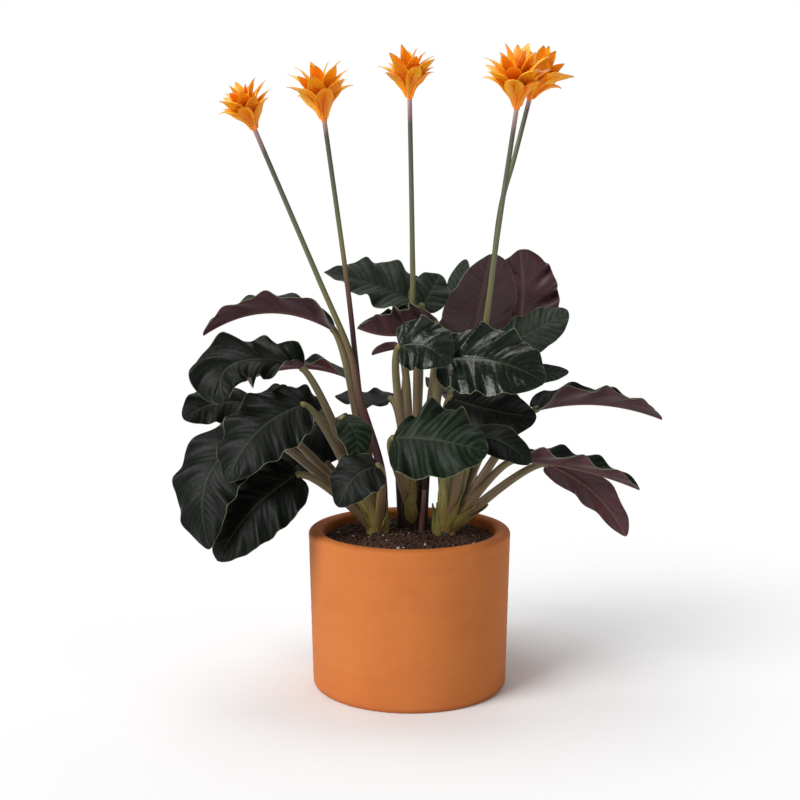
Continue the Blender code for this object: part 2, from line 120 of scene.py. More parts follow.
def curve_through(knots: Sequence[Sequence[float]], along: Array) -> Array:
    """Reads the polynomial through the knots, which stand at their share of the length.

    Args:
        knots: points that the curve passes through.
        along: shares of the way, from 0 to 1.

    Returns:
        One point for each share.
    """
    knots = np.asarray(knots, float)
    at = shares(knots)
    points = np.zeros((len(along), knots.shape[1]))
    for i, knot in enumerate(knots):
        weight = np.ones(len(along))
        for j in range(len(knots)):
            if j != i:
                weight *= (along - at[j]) / (at[i] - at[j])
        points += weight[:, None] * knot
    return points


def spline_through(knots: Sequence[Sequence[float]], count: int) -> Array:
    """Reads cubic pieces through the knots, each with the slope of its neighbours' chord.

    Args:
        knots: points that the curve passes through.
        count: how many points to read.

    Returns:
        The points, from the first knot to the last.
    """
    knots = np.asarray(knots, float)
    padded = np.vstack([2 * knots[0] - knots[1], knots, 2 * knots[-1] - knots[-2]])
    at = np.linspace(0.0, len(knots) - 1.0, count)
    piece = np.minimum(at.astype(int), len(knots) - 2)
    t = (at - piece)[:, None]
    a, b, c, d = (padded[piece + k] for k in range(4))
    return 0.5 * (2 * b + (c - a) * t + (2 * a - 5 * b + 4 * c - d) * t**2
                  + (3 * b - a - 3 * c + d) * t**3)


def round_angles(count: int) -> Array:
    """Returns even angles once round, from 0."""
    return np.arange(count) * 2 * math.pi / count


def square_ways(path: Array) -> tuple[Array, Array]:
    """Finds two ways square to a path and to each other.

    Args:
        path: its points.

    Returns:
        At each point, the way nearest to SIDE_HINT and the other.
    """
    ahead = unit(np.gradient(path, axis=0))
    across = unit(SIDE_HINT - (ahead @ SIDE_HINT)[:, None] * ahead)
    return across, np.cross(ahead, across)


def side_by_side(*numbers: Any) -> Array:
    """Returns numbers with a last axis of one, spread over one grid and put side by side."""
    return np.concatenate(np.broadcast_arrays(*numbers), axis=-1)


def put(name: str, data: Any) -> bpy.types.Object:
    """Puts a new object in the scene.

    Args:
        name: its name.
        data: the mesh, light or camera that it holds.

    Returns:
        The object.
    """
    made = bpy.data.objects.new(name, data)
    bpy.context.scene.collection.objects.link(made)
    return made


class Graph:
    """A material's nodes, wired up one call after another."""

    def __init__(self, name: str) -> None:
        """Starts a material, with its shader and the object's own coordinates in metres.

        Args:
            name: the material's name.
        """
        self.material = bpy.data.materials.new(name)
        self.material.use_nodes = True
        self.tree = self.material.node_tree
        self.place = self.node("TexCoord", {}).outputs["Object"]

    def wire(self, node: Any, inputs: dict[Any, Any]) -> None:
        """Fills a node's inputs.

        Args:
            node: the node.
            inputs: what goes into each input, a socket to link or a plain value.
        """
        for key, value in inputs.items():
            if isinstance(value, bpy.types.NodeSocket):
                self.tree.links.new(value, node.inputs[key])
            else:
                node.inputs[key].default_value = value

    def node(self, kind: str, inputs: dict[Any, Any], **settings: Any) -> Any:
        """Adds a node.

        Args:
            kind: the node's type, without "ShaderNode".
            inputs: what goes into each input.
            **settings: the node's own settings.

        Returns:
            The node.
        """
        made = self.tree.nodes.new("ShaderNode" + kind)
        for key, value in settings.items():
            setattr(made, key, value)
        self.wire(made, inputs)
        return made

    def finished(self, inputs: dict[str, Any]) -> bpy.types.Material:
        """Returns the material, once its shader's inputs are filled."""
        self.wire(self.tree.nodes["Principled BSDF"], inputs)
        return self.material

    def growth(self) -> Sequence[Socket]:
        """Returns the three numbers that each point of a grown piece carries."""
        read = self.node("Attribute", {}, attribute_name=MAP_NAME).outputs["Vector"]
        return self.node("SeparateXYZ", {"Vector": read}).outputs[:3]

    def stretched(self, stretch: Point) -> Socket:
        """Returns the object's own coordinates, stretched along each axis."""
        return self.node("Mapping", {"Vector": self.place, "Scale": stretch}).outputs["Vector"]

    def vector(self, *parts: tuple[Socket, float]) -> Socket:
        """Returns a vector of three numbers, each times its factor."""
        scaled = [self.maths("MULTIPLY", part, factor) for part, factor in parts]
        return self.node("CombineXYZ", dict(enumerate(scaled))).outputs[0]

    def noise(self, scale: float, detail: float = 3.0, vector: Socket = None) -> Socket:
        """Returns Blender's noise, about 0.5 on average, with blobs 1 / scale metres wide."""
        inputs = {"Vector": self.place if vector is None else vector, "Scale": scale,
                  "Detail": detail, "Roughness": 0.6}
        return self.node("TexNoise", inputs).outputs["Fac"]

    def brushed(self, along: Socket, reach: Socket) -> Socket:
        """Returns noise drawn out along a leaf's side veins, which slant towards its tip."""
        across = (self.line(reach, -VEIN_SLANT, along), 60.0)
        return self.noise(1.0, 4.0, self.vector(across, (reach, 2.5), (self.noise(30.0), 1.0)))

    def maths(self, operation: str, first: Any, second: Any) -> Socket:
        """Returns one sum, product or other plain operation on two numbers."""
        return self.node("Math", {0: first, 1: second}, operation=operation).outputs[0]

    def line(self, value: Socket, slope: float, start: Any) -> Socket:
        """Returns a value times a slope, plus a start."""
        return self.maths("ADD", self.maths("MULTIPLY", value, slope), start)

    def ramp(self, value: Socket, *stops: Pair) -> Socket:
        """Returns a number read from straight stretches through (value, number) stops."""
        return self.tints(value, [(at, (grey, grey, grey)) for at, grey in stops])

    def tints(self, value: Socket, stops: Sequence[tuple[float, Colour]]) -> Socket:
        """Reads a colour from straight stretches between stops.

        Args:
            value: where to read it.
            stops: values and their colours, in order.

        Returns:
            The colour.
        """
        made = self.node("ValToRGB", {"Fac": value})
        marks = made.color_ramp.elements
        marks[0].position, marks[1].position = stops[0][0], stops[-1][0]
        for at, _ in stops[1:-1]:
            marks.new(at)
        for mark, (_, tint) in zip(marks, stops):
            mark.color = (*tint, 1.0)
        return made.outputs["Color"]

    def blend(self, share: Any, low: Any, high: Any, mode: str = "MIX") -> Socket:
        """Returns two colours, plain or sockets, blended by the share of the second."""
        inputs = {6: (*low, 1.0) if isinstance(low, tuple) else low,
                  7: (*high, 1.0) if isinstance(high, tuple) else high, 0: share}
        return self.node("Mix", inputs, data_type="RGBA", blend_type=mode).outputs[2]

    def lay(self, below: Any, above: Any, value: Socket, *stops: Pair) -> Socket:
        """Returns a colour with another laid over it as thickly as (value, share) stops say."""
        return self.blend(self.ramp(value, *stops), below, above)

    def relief(self, *layers: tuple[Socket, float]) -> Socket:
        """Adds fine relief.

        Args:
            *layers: for each, its height and how deep that is in metres.

        Returns:
            The surface's normal.
        """
        inputs: dict[str, Any] = {"Strength": 1.0}
        for height, depth in layers:
            inputs |= {"Height": height, "Distance": depth}
            inputs["Normal"] = self.node("Bump", inputs).outputs["Normal"]
        return inputs["Normal"]


@dataclass(frozen=True)
class LeafTop:
    """The satin upper face of a leaf: dark green with a painted sheen on the crests between its
    veins, a fine pale midrib and a pale band painted along the margin as a highlight.
    """

    name: str
    # deep is the colour of the vein grooves and fresh the colour that the tone, the streaks and
    # the painted sheen on the crests lift the leaf towards.
    deep: Colour
    fresh: Colour
    roughness: float = 0.44
    specular: float = 0.15
    rib: Colour = (0.030, 0.040, 0.020)
    margin: Colour = (0.22, 0.26, 0.14)

    def material(self) -> bpy.types.Material:
        """Colours the face by how far along, how far out and how high a point is.

        Returns:
            The material.
        """
        graph = Graph(self.name)
        along, reach, crest = graph.growth()
        streaks = graph.brushed(along, reach)
        tone = graph.ramp(graph.noise(40.0), (0.3, 0.25), (0.7, 1.0))
        # Painted sheen and shade: the crests between the veins are painted lighter and the vein
        # grooves darker, broken up by the streaks and the random tone.
        ridge_sheen = graph.maths("MULTIPLY", graph.ramp(crest, (0.3, 0.1), (0.95, 1.0)),
                            graph.ramp(streaks, (0.38, 0.15), (0.62, 1.0)))
        colour = graph.blend(graph.maths("MULTIPLY", tone, ridge_sheen), self.deep, self.fresh)
        colour = graph.lay(colour, self.rib, reach, (0.012, 0.8), (0.04, 0.0))
        return graph.finished({
            # The pale margin is a painted highlight: a light band along the edge, where the leaf's
            # edge catches the light.
            "Base Color": graph.lay(colour, self.margin, reach, (0.982, 0.0), (0.996, 0.8)),
            "Roughness": graph.line(graph.noise(160.0), 0.16, self.roughness - 0.08),
            "Normal": graph.relief((streaks, 0.0003), (graph.noise(260.0, 2.0), 0.0003)),
            "Specular IOR Level": self.specular})


@dataclass(frozen=True)
class LeafUnder:
    """The wine-purple underside of a leaf, paler along its ribs, with a pale band painted along
    the margin as a highlight.
    """

    name: str
    deep: Colour
    bright: Colour
    rib: Colour = (0.115, 0.050, 0.040)
    margin: Colour = (0.26, 0.20, 0.14)
    roughness: float = 0.52

    def material(self) -> bpy.types.Material:
        """Colours the underside by the same three numbers as the upper face.

        Returns:
            The material.
        """
        graph = Graph(self.name)
        along, reach, crest = graph.growth()
        streaks = graph.brushed(along, reach)
        tone = graph.maths("MULTIPLY", graph.ramp(graph.noise(50.0), (0.3, 0.4), (0.7, 1.0)),
                           graph.ramp(streaks, (0.36, 0.2), (0.64, 1.0)))
        colour = graph.blend(tone, self.deep, self.bright)
        colour = graph.lay(colour, self.rib, crest, (0.0, 0.5), (0.3, 0.0))
        colour = graph.lay(colour, self.rib, reach, (0.02, 1.0), (0.07, 0.0))
        return graph.finished({
            # The pale margin is a painted highlight: a light band along the edge, where the leaf's
            # edge catches the light.
            "Base Color": graph.lay(colour, self.margin, reach, (0.982, 0.0), (0.996, 0.5)),
            "Roughness": self.roughness,
            "Normal": graph.relief((streaks, 0.0004), (graph.noise(1100.0, 2.0), 0.00012)),
            "Sheen Weight": 0.15, "Sheen Roughness": 0.4})


@dataclass(frozen=True)
class Stem:
    """A stalk's skin: its colours at shares of the way up, in darker and paler streaks."""

    name: str
    stops: tuple[tuple[float, Colour], ...]
    roughness: float = 0.42
    streak: Colour = (0.50, 0.40, 0.42)

    def material(self) -> bpy.types.Material:
        """Colours the skin by the share of the way up, the way round and a stalk's own number.

        Returns:
            The material.
        """
        graph = Graph(self.name)
        along, round_way, own = graph.growth()
        streaks = graph.noise(3.0, 3.0, graph.vector((along, 1.5), (round_way, 4.0), (own, 9.0)))
        colour = graph.tints(along, self.stops)
        darker = graph.blend(1.0, colour, self.streak, "MULTIPLY")
        return graph.finished({
            "Base Color": graph.lay(colour, darker, streaks, (0.42, 0.75), (0.62, 0.0)),
            "Roughness": self.roughness, "Normal": graph.relief((streaks, 0.00015))})


@dataclass(frozen=True)
class Bract:
    """A flower head's bracts: red-orange at the base, saffron, yellow edges, dark tips."""

    name: str = "saffron_bract"
    base: Colour = (0.95, 0.210, 0.008)
    middle: Colour = (1.0, 0.380, 0.005)
    edge: Colour = (1.0, 0.540, 0.024)
    tip: Colour = (0.34, 0.20, 0.030)

    def material(self) -> bpy.types.Material:
        """Colours the bracts by how far along and how far from the keel a point is.

        Returns:
            The material.
        """
        graph = Graph(self.name)
        along, across, own = graph.growth()
        colour = graph.lay(self.base, self.middle, along, (0.08, 0.0), (0.52, 1.0))
        colour = graph.lay(colour, self.edge, across, (0.35, 0.0), (0.95, 0.9))
        colour = graph.lay(colour, self.edge, graph.noise(260.0), (0.42, 0.0), (0.7, 0.5))
        colour = graph.lay(colour, self.base, own, (0.2, 0.45), (0.75, 0.0))
        fibres = graph.noise(900.0, 2.0, graph.stretched((1.0, 1.0, 0.25)))
        return graph.finished({
            "Base Color": graph.lay(colour, self.tip, along, (0.91, 0.0), (0.99, 0.85)),
            "Roughness": 0.42, "Normal": graph.relief((fibres, 0.00015)),
            "Subsurface Weight": 0.1, "Subsurface Radius": (0.002, 0.0008, 0.0003)})


@dataclass(frozen=True)
class Terracotta:
    """Unglazed fired clay, with faint bands from the wheel and a painted shadow along the bottom
    of the foot.
    """

    name: str = "terracotta"
    clay: Colour = (0.54, 0.150, 0.026)
    pale: Colour = (0.58, 0.180, 0.036)
    dark: Colour = (0.42, 0.105, 0.020)
    foot_shadow_height: float = 0.016

    def material(self) -> bpy.types.Material:
        """Colours the clay; its bands lie along Z.

        Returns:
            The material.
        """
        graph = Graph(self.name)
        bands = graph.noise(16.0, 2.0, graph.stretched((0.5, 0.5, 8.0)))
        blotch = graph.noise(26.0, 4.0)
        grain = graph.noise(900.0, 3.0)
        colour = graph.lay(self.clay, self.pale, blotch, (0.3, 0.0), (0.72, 1.0))
        colour = graph.lay(colour, self.dark, bands, (0.35, 0.12), (0.6, 0.0))
        colour = graph.lay(colour, self.dark, grain, (0.34, 0.35), (0.46, 0.0))
        # Painted shadow: the clay is darkened over the bottom few millimetres, where the foot
        # meets the floor.
        height = graph.node("SeparateXYZ", {"Vector": graph.place}).outputs["Z"]
        share = graph.maths("DIVIDE", height, self.foot_shadow_height)
        return graph.finished({
            "Base Color": graph.lay(colour, self.dark, share, (0.15, 0.55), (0.3, 0.0)),
            "Roughness": graph.line(blotch, 0.2, 0.62),
            "Normal": graph.relief((grain, 0.00014), (bands, 0.00025)),
            "Specular IOR Level": 0.35})


@dataclass(frozen=True)
class Grit:
    """A crumbly stuff of two colours; blotch and bumps are each a noise's scale and detail."""

    name: str
    low: Colour
    high: Colour
    roughness: float
    blotch: Pair
    span: Pair
    bumps: Pair
    depth: float

    def material(self) -> bpy.types.Material:
        """Blends the colours as the blotches rise through span.

        Returns:
            The material.
        """
        graph = Graph(self.name)
        start, end = self.span
        return graph.finished({
            "Base Color": graph.lay(self.low, self.high, graph.noise(*self.blotch),
                                    (start, 0.0), (end, 1.0)),
            "Roughness": self.roughness,
            "Normal": graph.relief((graph.noise(*self.bumps), self.depth))})


class Top(Enum):
    """How a leaf's upper face looks."""

    DEEP = LeafTop("leaf_deep_green", (0.0014, 0.0022, 0.0013), (0.011, 0.017, 0.010))
    FRESH = LeafTop("leaf_fresh_green", (0.0026, 0.0056, 0.0024), (0.032, 0.056, 0.028))
    GLOSS = LeafTop("leaf_glossy_green", (0.002, 0.005, 0.002), (0.010, 0.024, 0.009), 0.17, 0.36)
    GREY = LeafTop("leaf_grey_green", (0.010, 0.016, 0.010), (0.050, 0.066, 0.046), 0.46)


class Under(Enum):
    """How a leaf's underside looks."""

    WINE = LeafUnder("leaf_wine_under", (0.030, 0.0065, 0.010), (0.095, 0.022, 0.031))
    # A darker copy of the wine underside for leaves that sit in shade: painted shade.
    SHADED = LeafUnder("leaf_shaded_under", (0.024, 0.005, 0.008), (0.085, 0.018, 0.028))
    RUBY = LeafUnder("leaf_ruby_under", (0.085, 0.011, 0.019), (0.140, 0.024, 0.033))


class Skin(Enum):
    """The skins of a shoot's parts, in the order of its material slots."""

    OLIVE = Stem("petiole_olive", ((0.0, (0.360, 0.270, 0.090)), (0.2, (0.290, 0.200, 0.095)),
                                   (0.6, (0.200, 0.145, 0.070)), (1.0, (0.200, 0.185, 0.065))))
    SHEATH = Stem("sheath_yellow_green", ((0.0, (0.400, 0.270, 0.085)),
                                          (0.4, (0.400, 0.370, 0.095)),
                                          (1.0, (0.250, 0.200, 0.075))))
    STALK = Stem("flower_stalk", ((0.0, (0.045, 0.012, 0.016)), (0.28, (0.085, 0.026, 0.024)),
                                  (0.42, (0.170, 0.095, 0.050)), (0.52, (0.200, 0.180, 0.060)),
                                  (0.68, (0.150, 0.165, 0.075)), (0.94, (0.110, 0.125, 0.085)),
                                  (0.96, (0.330, 0.220, 0.215)), (1.0, (0.580, 0.430, 0.400))))
    # Near-black brown; on the middle shoot's tall stubs it is painted shade for the plant's
    # shadowed centre.
    CROWN = Stem("crown_brown", ((0.0, (0.030, 0.016, 0.012)), (1.0, (0.075, 0.048, 0.030))), 0.6)
    SPROUT = Stem("sprout_mauve", ((0.0, (0.240, 0.090, 0.090)), (1.0, (0.300, 0.150, 0.130))))

    @property
    def slot(self) -> int:
        """Returns its material slot in a shoot."""
        return list(Skin).index(self)


class Bed(Enum):
    """What the soil is made of."""

    PEAT = Grit("peat", (0.014, 0.007, 0.005), (0.150, 0.072, 0.036), 0.88,
                (420.0, 4.0), (0.36, 0.68), (1300.0, 4.0), 0.0006)
    PERLITE = Grit("perlite", (0.50, 0.45, 0.40), (0.80, 0.77, 0.72), 0.8,
                   (900.0, 2.0), (0.35, 0.6), (1500.0, 2.0), 0.0004)


FINISHED: dict[str, bpy.types.Material] = {}


def finish(option: Any) -> bpy.types.Material:
    """Finds a finish's material, which is made once.

    Args:
        option: the finish, or an option that holds one.

    Returns:
        The material.
    """
    chosen = option.value if isinstance(option, Enum) else option
    if chosen.name not in FINISHED:
        FINISHED[chosen.name] = chosen.material()
    return FINISHED[chosen.name]


def grid_quads(rows: int, columns: int, around: bool = False) -> Array:
    """The quads of a grid of points that is numbered row by row.

    Args:
        rows: rows of points.
        columns: points in a row.
        around: whether each row closes on itself.

    Returns:
        Four point numbers for each quad, wound so that their normal is rows times columns.
    """
    index = np.arange(rows * columns).reshape(rows, columns)
    after = np.roll(index, -1, axis=1) if around else index[:, 1:]
    here = index if around else index[:, :-1]
    quads = np.stack([here[:-1], here[1:], after[1:], after[:-1]], axis=-1)
    return quads.reshape(-1, 4)


def closed_rings(rows: int, sides: int) -> list[Array]:
    """The faces of rings of points, closed by two more points that are numbered last.

    Args:
        rows: how many rings.
        sides: points in a ring.

    Returns:
        The walls between the rings and the fans at the first and at the last ring.
    """
    ring = np.arange(sides)
    after = np.roll(ring, -1)
    last = (rows - 1) * sides
    foot = np.stack([np.full(sides, rows * sides), after, ring], axis=-1)
    top = np.stack([np.full(sides, rows * sides + 1), last + ring, last + after], axis=-1)
    return [grid_quads(rows, sides, around=True)[:, ::-1], foot, top]


def sheet_faces(rows: int, columns: int) -> tuple[Array, Array, Array]:
    """The faces of a closed thin body between two grids of the same size.

    Args:
        rows: rows of points in each grid.
        columns: points in a row.

    Returns:
        The quads of the first grid, of the second and of the rim between them.
    """
    count = rows * columns
    index = np.arange(count).reshape(rows, columns)
    first = grid_quads(rows, columns)
    loop = np.concatenate([index[0, :-1], index[:-1, -1], index[-1, :0:-1], index[:0:-1, 0]])
    after = np.roll(loop, -1)
    rim = np.stack([loop, after, count + after, count + loop], axis=-1)
    return first, first[:, ::-1] + count, rim


def tube_shell(centres: Array, radii: Array, sides: int) -> tuple[Array, Array, list[Array]]:
    """A closed round body carried along a path.

    Each ring is centre + radius (cos a · across + sin a · other), square to the path, and
    a point at each end closes it.

    Args:
        centres: the path's points.
        radii: a radius for each point of the path, or for each point of each ring.
        sides: points in a ring.

    Returns:
        The points, for each the share of the way and the angle's sine, and the faces.
    """
    across, other = square_ways(centres)
    angles = round_angles(sides)
    radii = radii[:, None, None] if radii.ndim == 1 else radii[:, :, None]
    rings = centres[:, None] + radii * (np.cos(angles)[None, :, None] * across[:, None]
                                        + np.sin(angles)[None, :, None] * other[:, None])
    points = np.concatenate([rings.reshape(-1, 3), centres[:1], centres[-1:]])
    both = side_by_side(shares(centres)[:, None, None], np.sin(angles)[None, :, None])
    both = np.concatenate([both.reshape(-1, 2), [[0.0, 0.0], [1.0, 0.0]]])
    return points, both, closed_rings(len(centres), sides)


@dataclass
class Form:
    """Shells gathered for one object: their points, faces, slots and growth numbers."""

    points: list[Array] = field(default_factory=list)
    growth: list[Array] = field(default_factory=list)
    faces: list[list[int]] = field(default_factory=list)
    slots: list[int] = field(default_factory=list)
    count: int = 0

    def add(self, points: Array, growth: Array, faces: Sequence[Array], slots: Sequence[int],
            flipped: bool = False) -> None:
        """Adds one shell.

        Args:
            points: its points in millimetres.
            growth: three numbers for each point, or for all of them.
            faces: blocks of faces, each of one number of corners.
            slots: the material slot of each block.
            flipped: whether the faces are to be turned round.
        """
        points = points.reshape(-1, 3)
        self.points.append(points)
        self.growth.append(np.broadcast_to(growth.reshape(-1, 3), points.shape))
        for block, slot in zip(faces, slots):
            block = np.asarray(block) + self.count
            self.faces += (block[:, ::-1] if flipped else block).tolist()
            self.slots += [slot] * len(block)
        self.count += len(points)

    def sheet(self, outer: Array, inner: Array, growth: Array, slots: Sequence[int],
              flipped: bool = False) -> None:
        """Adds a closed thin body between two grids of points.

        Args:
            outer: the first grid.
            inner: the second grid.
            growth: three numbers for each point of a grid.
            slots: the material slots of the first grid, of the second and of the rim.
            flipped: whether the faces are to be turned round.
        """
        self.add(np.concatenate([outer, inner]), np.concatenate([growth, growth]),
                 sheet_faces(*outer.shape[:2]), slots, flipped)

    def tube(self, centres: Array, radii: Array, sides: int, slot: int, own: float,
             scale: Pair = (1.0, 1.0)) -> None:
        """Adds a closed round body along a path.

        Args:
            centres: the path's points.
            radii: a radius for each point of the path, or for each point of each ring.
            sides: points in a ring.
            slot: its material slot.
            own: its own number, after the share of the way and the angle's sine.
            scale: what those two are multiplied by.
        """
        points, both, faces = tube_shell(centres, radii, sides)
        growth = np.column_stack([both * scale, np.full(len(both), own)])
        self.add(points, growth, faces, [slot] * 3)

    def piece(self, name: str, finishes: Sequence[Any], slot: str, node: str) -> bpy.types.Object:
        """Makes the object, puts it on the frame's body and hides what it stands for.

        Args:
            name: the object's name.
            finishes: a finish for each slot.
            slot: the record's material slot; not used.
            node: the frame's node that it replaces.

        Returns:
            The object.
        """
        mesh = bpy.data.meshes.new(name)
        mesh.from_pydata((np.concatenate(self.points) * MM).tolist(), [], self.faces)
        mesh.polygons.foreach_set("material_index", self.slots)
        kept = mesh.attributes.new(MAP_NAME, "FLOAT_VECTOR", "POINT")
        kept.data.foreach_set("vector", np.concatenate(self.growth).astype(np.float32).ravel())
        mesh.shade_smooth()
        mesh.set_sharp_from_angle(angle=SHARP_ANGLE)
        for option in finishes:
            mesh.materials.append(finish(option))
        made = put(name, mesh)
        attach(made, BODY)
        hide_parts(node)
        LOG.info("%s: %d faces", name, len(self.faces))
        return made


@dataclass(frozen=True)
class Crown:
    """Where the bases of one shoot's leaves come out of the soil."""

    centre: Pair
    radius: float


GROUND = 114.0
CROWN_RISE = 9.0
CROWNS = {
    "shoot_left": Crown((-22, 1), 10.5),
    "shoot_middle": Crown((4, 16), 9.0),
    "shoot_right": Crown((27, -3), 10.5),
}


@dataclass(frozen=True)
class Blade:
    """One leaf blade: its midrib from joint to tip, and how it is held.

    The first of each pair of turn is at the joint and the second at the tip, and the first
    of fold and lobe is the half towards the front. wave is the height and the number of the
    waves along a margin, and peaked how much narrower their crests are than their hollows.
    curl bends a half on from midrib to margin, and lobe curls the lobes beside the joint
    upwards, both in degrees. shape holds the powers of the outline at the joint and at the
    tip. rib and groove are the height and the half width of the midrib below and above.
    """

    name: str
    crown: str
    midrib: tuple[Point, ...]
    width: float
    turn: Pair = (0, 0)
    fold: Pair = (15, 15)
    wave: Pair = (3.0, 3.5)
    curl: float = -15
    top: Top = Top.DEEP
    under: Under = Under.WINE
    lobe: Pair = (0, 0)
    shape: Pair = (0.42, 0.62)
    peaked: float = 0.25
    detail: float = 1.0
    thick: float = 0.7
    foot: float = 2.2
    tip: float = 0.4
    sweep: float = 0.3
    scallop: float = 0.012
    vein_pitch: float = 5.2
    vein_height: float = 0.022
    rib: Pair = (1.5, 1.5)
    groove: Pair = (0.35, 0.9)
    rows: int = 96
    half_columns: int = 19

    def spine(self, along: Array) -> tuple[Array, Array, Array, Array]:
        """Follows the midrib.

        Args:
            along: shares of the way from joint to tip.

        Returns:
            Its points and, at each, the ways ahead, to the front half and up.
        """
        rib = curve_through(self.midrib, along)
        ahead = unit(curve_through(self.midrib, along + 1e-3)
                     - curve_through(self.midrib, along - 1e-3))
        chord = rib[-1] - rib[0]
        front = np.array([chord[1], -chord[0], 0.0])
        front = -front if front[1] > 0 else front
        front = unit(front - (ahead @ front)[:, None] * ahead)
        above = np.cross(ahead, front)
        return rib, ahead, front, -above if above[:, 2].sum() < 0 else above

    def half_width(self, u: Array) -> tuple[Array, Array]:
        """The blade's half width and its outline: u to one power times 1 - u to another.

        Args:
            u: shares of the way from joint to tip.

        Returns:
            The half width in millimetres and the outline from 0 to 1.
        """
        start, end = self.shape
        peak = start / (start + end)
        outline = u**start * (1 - u)**end / (peak**start * (1 - peak)**end)
        base = self.foot * (1 - u)
        return base + self.tip * u + (self.width - base) * outline, outline

    def relief(self, u: Array, reach: Array, side: Array, length: float) -> tuple[Array, Array]:
        """How high the blade's waves, ruffles and the bulges between its veins stand.

        A margin is lifted by slow waves and by shorter ruffles that grow with reach, and
        between the side veins the surface bulges by |sin| of the vein's phase, which runs
        on towards the tip with reach.

        Args:
            u: shares of the way from joint to tip.
            reach: shares of the way from midrib to margin.
            side: 1 on the half towards the front and -1 on the other.
            length: the midrib's length.

        Returns:
            The height in millimetres and the height between two veins from 0 to 1.
        """
        _, outline = self.half_width(u)
        height, count = self.wave
        phase = 2 * math.pi * count * (u - VEIN_SLANT * reach) + 1.2 * side
        swing = np.sin(phase) - self.peaked * np.cos(2 * phase)
        ruffle = np.sin(1.9 * phase + 0.21 * self.midrib[0][0])
        veins = max(6, round(length / self.vein_pitch))
        crest = np.abs(np.sin(math.pi * veins * (u - VEIN_SLANT * reach * (1.15 - 0.3 * u))))
        bulge = (crest**0.8 - 0.6) * ease(reach, 0.0, 0.25) * (1 - 0.75 * reach**2)
        raised = height * (1.3 * swing * reach**1.6 + 0.3 * ruffle * reach**4) * outline
        return raised + self.vein_height * self.width * bulge * outline**0.5, crest

    def surface(self, rows: int, columns: int) -> tuple[Array, Array, Array]:
        """The blade's middle surface.

        Each half starts at the midrib at its fold angle and bends on by curl, as a circular
        arc. Its margin is scalloped by a sine of the length, its base is swept back towards
        the joint with the square of reach, and relief lifts it square to the arc.

        Args:
            rows: rows of points from joint to tip.
            columns: points across, an odd number.

        Returns:
            The grid of points, its growth numbers and the ways up from the midrib.
        """
        s = np.linspace(0.0, 1.0, rows)
        along = 0.55 * s + 0.45 * (0.5 - 0.5 * np.cos(math.pi * s))
        rib, ahead, front, above = self.spine(along)
        u = along[:, None, None]
        c = np.linspace(-1.0, 1.0, columns)
        v = (np.sign(c) * np.abs(c)**1.25)[None, :, None]
        side, reach = np.where(v >= 0, 1.0, -1.0), np.abs(v)
        turn = np.radians(self.turn[0] + (self.turn[1] - self.turn[0]) * u)
        front, up, ahead = front[:, None, :], above[:, None, :], ahead[:, None, :]
        outward = front * np.cos(turn) - up * np.sin(turn)
        upward = up * np.cos(turn) + front * np.sin(turn)
        fold = np.radians(np.where(v >= 0, *self.fold)) * np.minimum(1.0, 6 * u + 0.15)
        lobe = np.radians(np.where(v >= 0, *self.lobe)) * (1 - ease(u, 0.08, 0.3)) * reach**1.5
        curl = math.radians(self.curl) + 1e-4
        run = (np.sin(fold + curl * reach) - np.sin(fold)) / curl
        rise = (np.cos(fold) - np.cos(fold + curl * reach)) / curl
        run, rise = run * np.cos(lobe) - reach * np.sin(lobe) * 0.5, rise + reach * np.sin(lobe)
        half, outline = self.half_width(u)
        scallop = self.scallop * np.sin(2 * math.pi * 1.6 * self.wave[1] * u + 2.1 * side)
        half = half * (1 + scallop * reach**2)
        points = rib[:, None, :] + half * (side * outward * run + upward * rise)
        length = np.linalg.norm(np.diff(rib, axis=0), axis=1).sum()
        raised, crest = self.relief(u, reach, side, length)
        angle = fold + curl * reach + lobe
        points = points + (upward * np.cos(angle) - side * outward * np.sin(angle)) * raised
        points = points - ahead * self.sweep * self.width * reach**2 * outline * (1 - u)**4
        return points, side_by_side(u, reach, crest), above

    def build(self) -> None:
        """Makes the blade: two faces a leaf's thickness apart, a midrib below, a rim."""
        columns = 2 * int(self.half_columns * self.detail) + 1
        points, growth, above = self.surface(int(self.rows * self.detail), columns)
        normals = unit(np.cross(np.gradient(points, axis=0), np.gradient(points, axis=1)))
        flipped = bool((normals[2:-2, columns // 2] * above[2:-2]).sum() < 0)
        normals = -normals if flipped else normals
        u, reach = growth[..., :1], growth[..., 1:2]
        away = reach * self.half_width(u)[0]
        wide = self.rib[1] * (1 - 0.75 * u)
        rib = self.rib[0] * (1 - 0.85 * u) * np.exp(-(away / wide)**2)
        groove = self.groove[0] * (1 - u) * np.exp(-(away / self.groove[1])**2)
        thick = self.thick * (1 - 0.5 * reach**4)
        form = Form()
        form.sheet(points + normals * (thick / 2 - groove), points - normals * (thick / 2 + rib),
                   growth, (0, 1, 0), flipped)
        form.piece(f"{self.name}_blade", (self.top, self.under), "leaf", self.name)


